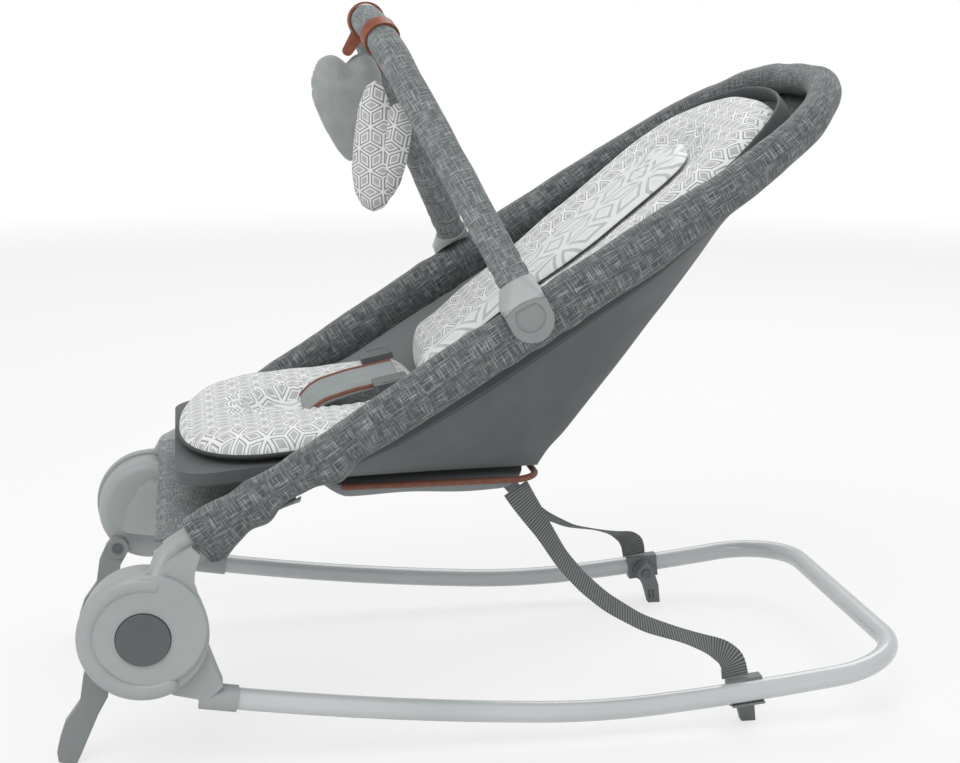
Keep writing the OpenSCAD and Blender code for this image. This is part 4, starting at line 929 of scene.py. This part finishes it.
def open_tube(path, radius):
    """A round tube on an open path that runs in the plane of x and z, closed at both ends by a point."""
    ahead = unit(np.gradient(path, axis=0))
    aside = np.broadcast_to([0.0, 1.0, 0.0], path.shape)
    return capped(circles(path, aside, np.cross(ahead, aside), radius), path)


for place, edge_y in (("near", -0.0430), ("far", 0.0430)):
    edge_path = over_floor(flap_line[:, 0], edge_y + 0 * flap_line[:, 0], flap_line[:, 1] + 0.0002)
    trim = piece_of("crotch_piping_" + place, [open_tube(edge_path, radius=0.0022)], [brown_trim],
                    loops=(False, True))
    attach(trim, "seat")

webbing_w, webbing_t, rib_pitch = 0.025, 0.0016, 0.0026
webbing = Finish("ribbed_webbing", "#565a5b", 0.8, Sheen_Weight=0.15)
# A wave texture repeats every pi / 10 / scale, which at this scale is about the pitch of the ribs
ribs = webbing.add("TexWave", {"Vector": webbing.point("UV"), "Scale": 121.0}, out=1, bands_direction="X")
webbing.colour(webbing.ramp(ribs, (0.2, "#4a4e4f"), (0.8, "#7f8484")))
webbing.bump(ribs, 0.0003)
webbing.bump(webbing.noise(webbing.point("UV"), 1500.0), 0.0001)


def strap(name, path, widths, width, depth, finish=webbing):
    """A webbing strap: a flat section with round edges, from powers of a cosine and a sine, carried on a
    path with its width along the given directions. Its ribs swell its depth and scallop its edges. Both
    ends are closed by a point."""
    widths = unit(widths)
    normal = np.cross(unit(np.gradient(path, axis=0)), widths)
    rib = np.cos(run_of(path) * 2 * math.pi / rib_pitch)[:, None, None]
    angle = full_turn(28)[:, None]
    wide = np.sign(np.cos(angle)) * np.abs(np.cos(angle)) ** 0.35 * (width / 2 + 0.0002 * rib)
    deep = np.sign(np.sin(angle)) * np.abs(np.sin(angle)) ** 0.7 * (depth / 2 + 0.0001 * rib)
    ring = path[:, None] + widths[:, None] * wide + normal[:, None] * deep
    return piece_of(name, [capped(ring, path)], [finish], loops=(False, True), even=True)


for place, turned in (("left", -1), ("right", 1)):
    waist_path = eased([(0.232, 0.134, 0.2930), (0.230, 0.106, 0.2980), (0.228, 0.080, 0.3025),
                        (0.226, 0.0460, 0.3027)], step=0.0012, passes=40)
    waist_path = waist_path * [1, turned, 1] + [hub[0], 0, 0]
    lengthwise = np.tile([0.98, 0, 0.2], (len(waist_path), 1))
    waist = strap("waist_strap_" + place, waist_path, lengthwise, webbing_w, webbing_t)
    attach(waist, "seat")
    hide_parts("waist_straps")

# ---- Webbing from the pan to the rear saddles ----
# A length of the same webbing on each side leaves the pan on edge, turns nearly flat as it runs down under
# the seat, and turns back to end in the slot of the saddle on the rocker. It crosses the hinge, and on the
# real seat its upper end moves with the seat, but here the piece is attached to neither the seat nor the
# rocker.

# Route: x from the hub, height, and how far its width has turned from upright, in degrees
strap_route = [(0.332, 0.215, 4), (0.340, 0.202, 22), (0.356, 0.178, 45), (0.372, 0.151, 53),
               (0.390, 0.130, 56), (0.411, 0.112, 60), (0.443, 0.094, 68), (0.476, 0.085, 76),
               (0.497, 0.078, 66), (0.512, 0.071, 38), (0.520, 0.0625, 12), (0.522, 0.0488, 0)]
# The turn is eased along with the places, in thousands of degrees, so that it hardly counts as length
route = eased(np.array(strap_route) * [1, 1, 0.001], step=0.0012, passes=60)
# It runs straight outwards, seen from above, from the pan to the saddle
pan_x, saddle_x, pan_y, saddle_y = 0.332, 0.522, 0.1134, 0.1815
route_y = pan_y + (saddle_y - pan_y) * (route[:, 0] - pan_x) / (saddle_x - pan_x)
quarter = np.radians(route[:, 2] * 1000)[:, None]
for place, turned in (("left", -1), ("right", 1)):
    strap_path = over_floor(route[:, 0], turned * route_y, route[:, 1])
    ahead = np.gradient(strap_path, axis=0)
    upright_way = unit(np.stack([-ahead[:, 2], 0 * ahead[:, 1], ahead[:, 0]], -1))
    widths = upright_way * np.cos(quarter) + np.array([0, -turned, 0]) * np.sin(quarter)
    rear_strap = strap("pan_strap_" + place, strap_path, widths, webbing_w, webbing_t)
    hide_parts("base_strap_" + place)
    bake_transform(rear_strap)

# ---- Rim of the head panel ----
# The thin edge of the stiff panel behind the back pad, in a cover of slate cloth. It stands up along both
# upper sides of the pad and round its head end.

rim_start, rim_bend, rim_top, rim_w, rim_step = 0.215, 0.140, 0.4375, 0.1545, 0.003
rim_side = evenly(np.array([(rim_start, rim_w), (rim_top - rim_bend, rim_w)]), rim_step)
rim_half = evenly(superellipse(rim_bend, rim_w, power=2.3)[::-1] * [-1, 1] + [rim_top, 0], rim_step)
rim_half = np.vstack([rim_side[:-1], rim_half])
rim_line = np.vstack([rim_half * [1, -1], rim_half[-2::-1]])
rim_path = on_back(rim_line[:, 0], rim_line[:, 1], 0.0150)
rim_up = np.tile([-math.sin(back_slope), 0, math.cos(back_slope)], (len(rim_path), 1))
panel_cloth = smooth_cloth("panel_cloth", "#575c5d", "#4f5455")
rim = strap("head_panel_rim", rim_path, rim_up, width=0.017, depth=0.0030, finish=panel_cloth)
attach(rim, "seat")

# ---- Toy bar sleeve and its leather loops ----
# A padded roll of the melange cut on the bias and drawn over the bent bar. It bunches at its feet and is
# drawn in a little under the two brown leather loops.

# The near leg stands at bar_foot and leans in by bar_lean, the far one mirrors it, and a round arch joins
# them. Their plane passes between the clips and leans by bar_tilt towards the foot end, and the tube lies
# bar_off from it on the head side
bar_lean, bar_tilt, arch_r, arch_h, leg_length = math.radians(25), math.radians(26), 0.109, 0.1431, 0.2087
bar_foot, bar_off, between_clips = -0.187, 0.0042, (0.32007, 0.39928)
bar_melange = woven("bar_melange", "#7b8081", "#b4b9b9", "#575c5d", turn=0.75)
leg_run = np.arange(0.0103, leg_length, 0.003)[:, None]
leg = np.hstack([bar_foot + leg_run * math.sin(bar_lean), leg_run * math.cos(bar_lean)])
arc = np.linspace(-math.pi / 2 + bar_lean, math.pi / 2 - bar_lean, 90)[:, None]
arch = np.hstack([arch_r * np.sin(arc), arch_h + arch_r * np.cos(arc)])
bar_line = np.vstack([leg, arch, leg[::-1] * [-1, 1]])
bar_ahead = unit(np.gradient(bar_line, axis=0))
bar_out = np.stack([-bar_ahead[:, 1], bar_ahead[:, 0]], -1)


def on_bar(across, y, rise):
    """Places by the toy bar's leaning plane: how far from it towards the head, across, and up along it."""
    return over_floor(between_clips[0] + across * math.cos(bar_tilt) - rise * math.sin(bar_tilt), y,
                      between_clips[1] + across * math.sin(bar_tilt) + rise * math.cos(bar_tilt))


bar_run = run_of(bar_line)[:, None]
from_foot = np.minimum(bar_run, bar_run[-1] - bar_run)
around = full_turn(40)[None, :]
bar_y = bar_line[:, :1]
loops_near = bell(bar_y, 0, 0.010) + bell(bar_y, -0.055, 0.010)
centre = on_bar(bar_off + 0 * around, bar_y, bar_line[:, 1:])
ring_way = np.stack([np.cos(around), np.sin(around), 0 * around], -1)
creases = 0.0007 * ripple(centre + ring_way * 0.03, length=0.05, seed=31)
creases += 0.0006 * np.sin(bar_run * 420 + 2 * around) * bell(from_foot, 0.012, 0.022)
bar_r = 0.0143
bar_radius = bar_r + creases * (1 - np.clip(loops_near, 0, 1)) - 0.0002 * np.clip(loops_near, 0, 1)
bar_grid = on_bar(bar_off + bar_radius * np.sin(around), bar_y + bar_out[:, :1] * bar_radius * np.cos(around),
                  bar_line[:, 1:] + bar_out[:, 1:] * bar_radius * np.cos(around))
bar_ends = [bar_grid[k].mean(0) for k in (0, -1)]
bar_sleeve = piece_of("bar_sleeve", [capped(bar_grid, bar_ends)], [bar_melange], loops=(False, True),
                      even=True)
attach(bar_sleeve, "toy_bar")
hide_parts("toy_bar_sleeve")

leather = Finish("brown_leather", "#8a4a30", 0.5, Coat_Weight=0.1)
hide = leather.noise(leather.point(), 180.0, 4.0, 0.6)
leather.colour(leather.ramp(hide, (0.3, "#7c4029"), (0.72, "#985539")))
pores = leather.add("TexVoronoi", {"Vector": leather.point(), "Scale": 900.0}, out=0)
leather.bump(pores, 0.0002, 0.8)
dress(["toy_strap_heart", "toy_strap_leaf"], leather)

# ---- Hanging toys ----
# Two stuffed toys, each sewn from a velvet side and a printed side: a heart, and a leaf of two lobes that
# overlap towards its tip. Each hangs from the pin of its leather loop.


def plush(name, light, dark):
    """Short velvet pile: soft sheen over a clouded grey."""
    pile = Finish(name, light, 0.9, Sheen_Weight=0.5, Sheen_Roughness=0.4)
    pile.colour(pile.ramp(pile.noise(pile.point(), 60.0, 4.0, 0.6), (0.3, dark), (0.7, light)))
    pile.bump(pile.noise(pile.point(), 1400.0, 3.0), 0.0004, 0.8)
    return pile


velvet = plush("toy_velvet", "#a7abab", "#949999")
toy_print = printed("toy_print", 0.022, 0.15, 0.8,
                    (0.0, "#e4e5e4"), (0.07, "#8f9090"), (0.18, "#e4e5e4"), (0.28, "#b2b3b3"))


def hung(pin, wide, tilt):
    """Places on a toy that hangs from a pin, by how far down, across and out they lie. Across points along
    the level turn wide, and the toy leans that way from the plumb line by its tilt."""
    wide = np.array([math.cos(wide), math.sin(wide), 0])
    down = math.cos(tilt) * np.array([0, 0, -1]) + math.sin(tilt) * wide
    side_way = math.cos(tilt) * wide + math.sin(tilt) * np.array([0, 0, 1])
    out = np.cross(side_way, down)
    origin = np.array([hub[0] + pin[0], pin[1], pin[2]])
    return lambda a, y, h: origin + a[..., None] * down + y[..., None] * side_way + h[..., None] * out


def stuffed(half_line, spine, edge, depth, place):
    """Both skins of a stuffed toy over half its outline, with the dimples of its filling."""
    def skin(way):
        """A level skin on one side, 1 or -1, with the unevenness of its filling."""
        return lambda a, y: way * (depth + 0.0010 * stuffing(a, y, length=0.03, seed=41, h=way))
    return pillow(both_sides(half_line), spine, edge, skin(1), 0.0, skin(-1), place, rings=28)


heart_half = eased([(0.011, 0), (0.004, 0.008), (0.0015, 0.016), (0.006, 0.027), (0.022, 0.0345),
                    (0.042, 0.034), (0.066, 0.024), (0.088, 0.0115), (0.098, 0.003), (0.099, 0)],
                   step=0.002, passes=4)
heart_place = hung(pin=(0.1943, 0, 0.6000), wide=math.radians(20), tilt=0.03)
heart_grids, heart_maps = stuffed(heart_half, spine=(0.034, 0.080), edge=0.026, depth=0.016,
                                  place=heart_place)
heart = piece_of("heart_toy", heart_grids, [toy_print, velvet], loops=(False, True), maps=heart_maps)
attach(heart, "heart")
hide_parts("toy_heart")

main_half = eased([(0.011, 0), (0.016, 0.008), (0.034, 0.0145), (0.062, 0.0185), (0.090, 0.0205),
                   (0.110, 0.0175), (0.123, 0.010), (0.127, 0)], step=0.002, passes=4)
side_half = eased([(0.030, 0), (0.035, 0.009), (0.052, 0.0135), (0.080, 0.0145), (0.102, 0.0125),
                   (0.116, 0.007), (0.120, 0)], step=0.002, passes=4)
leaf_turn = math.radians(-22)
main_place = hung(pin=(0.2150, -0.0545, 0.5873), wide=leaf_turn, tilt=-0.02)
side_place = hung(pin=(0.2440, -0.0640, 0.5873), wide=leaf_turn, tilt=-0.21)
main_grids, main_maps = stuffed(main_half, spine=(0.035, 0.105), edge=0.020, depth=0.0125, place=main_place)
side_grids, side_maps = stuffed(side_half, spine=(0.052, 0.105), edge=0.017, depth=0.0115, place=side_place)
leaf = piece_of("leaf_toy", main_grids + side_grids, [velvet, toy_print], loops=(False, True),
                maps=main_maps + side_maps)
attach(leaf, "leaf")
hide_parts("toy_leaf")
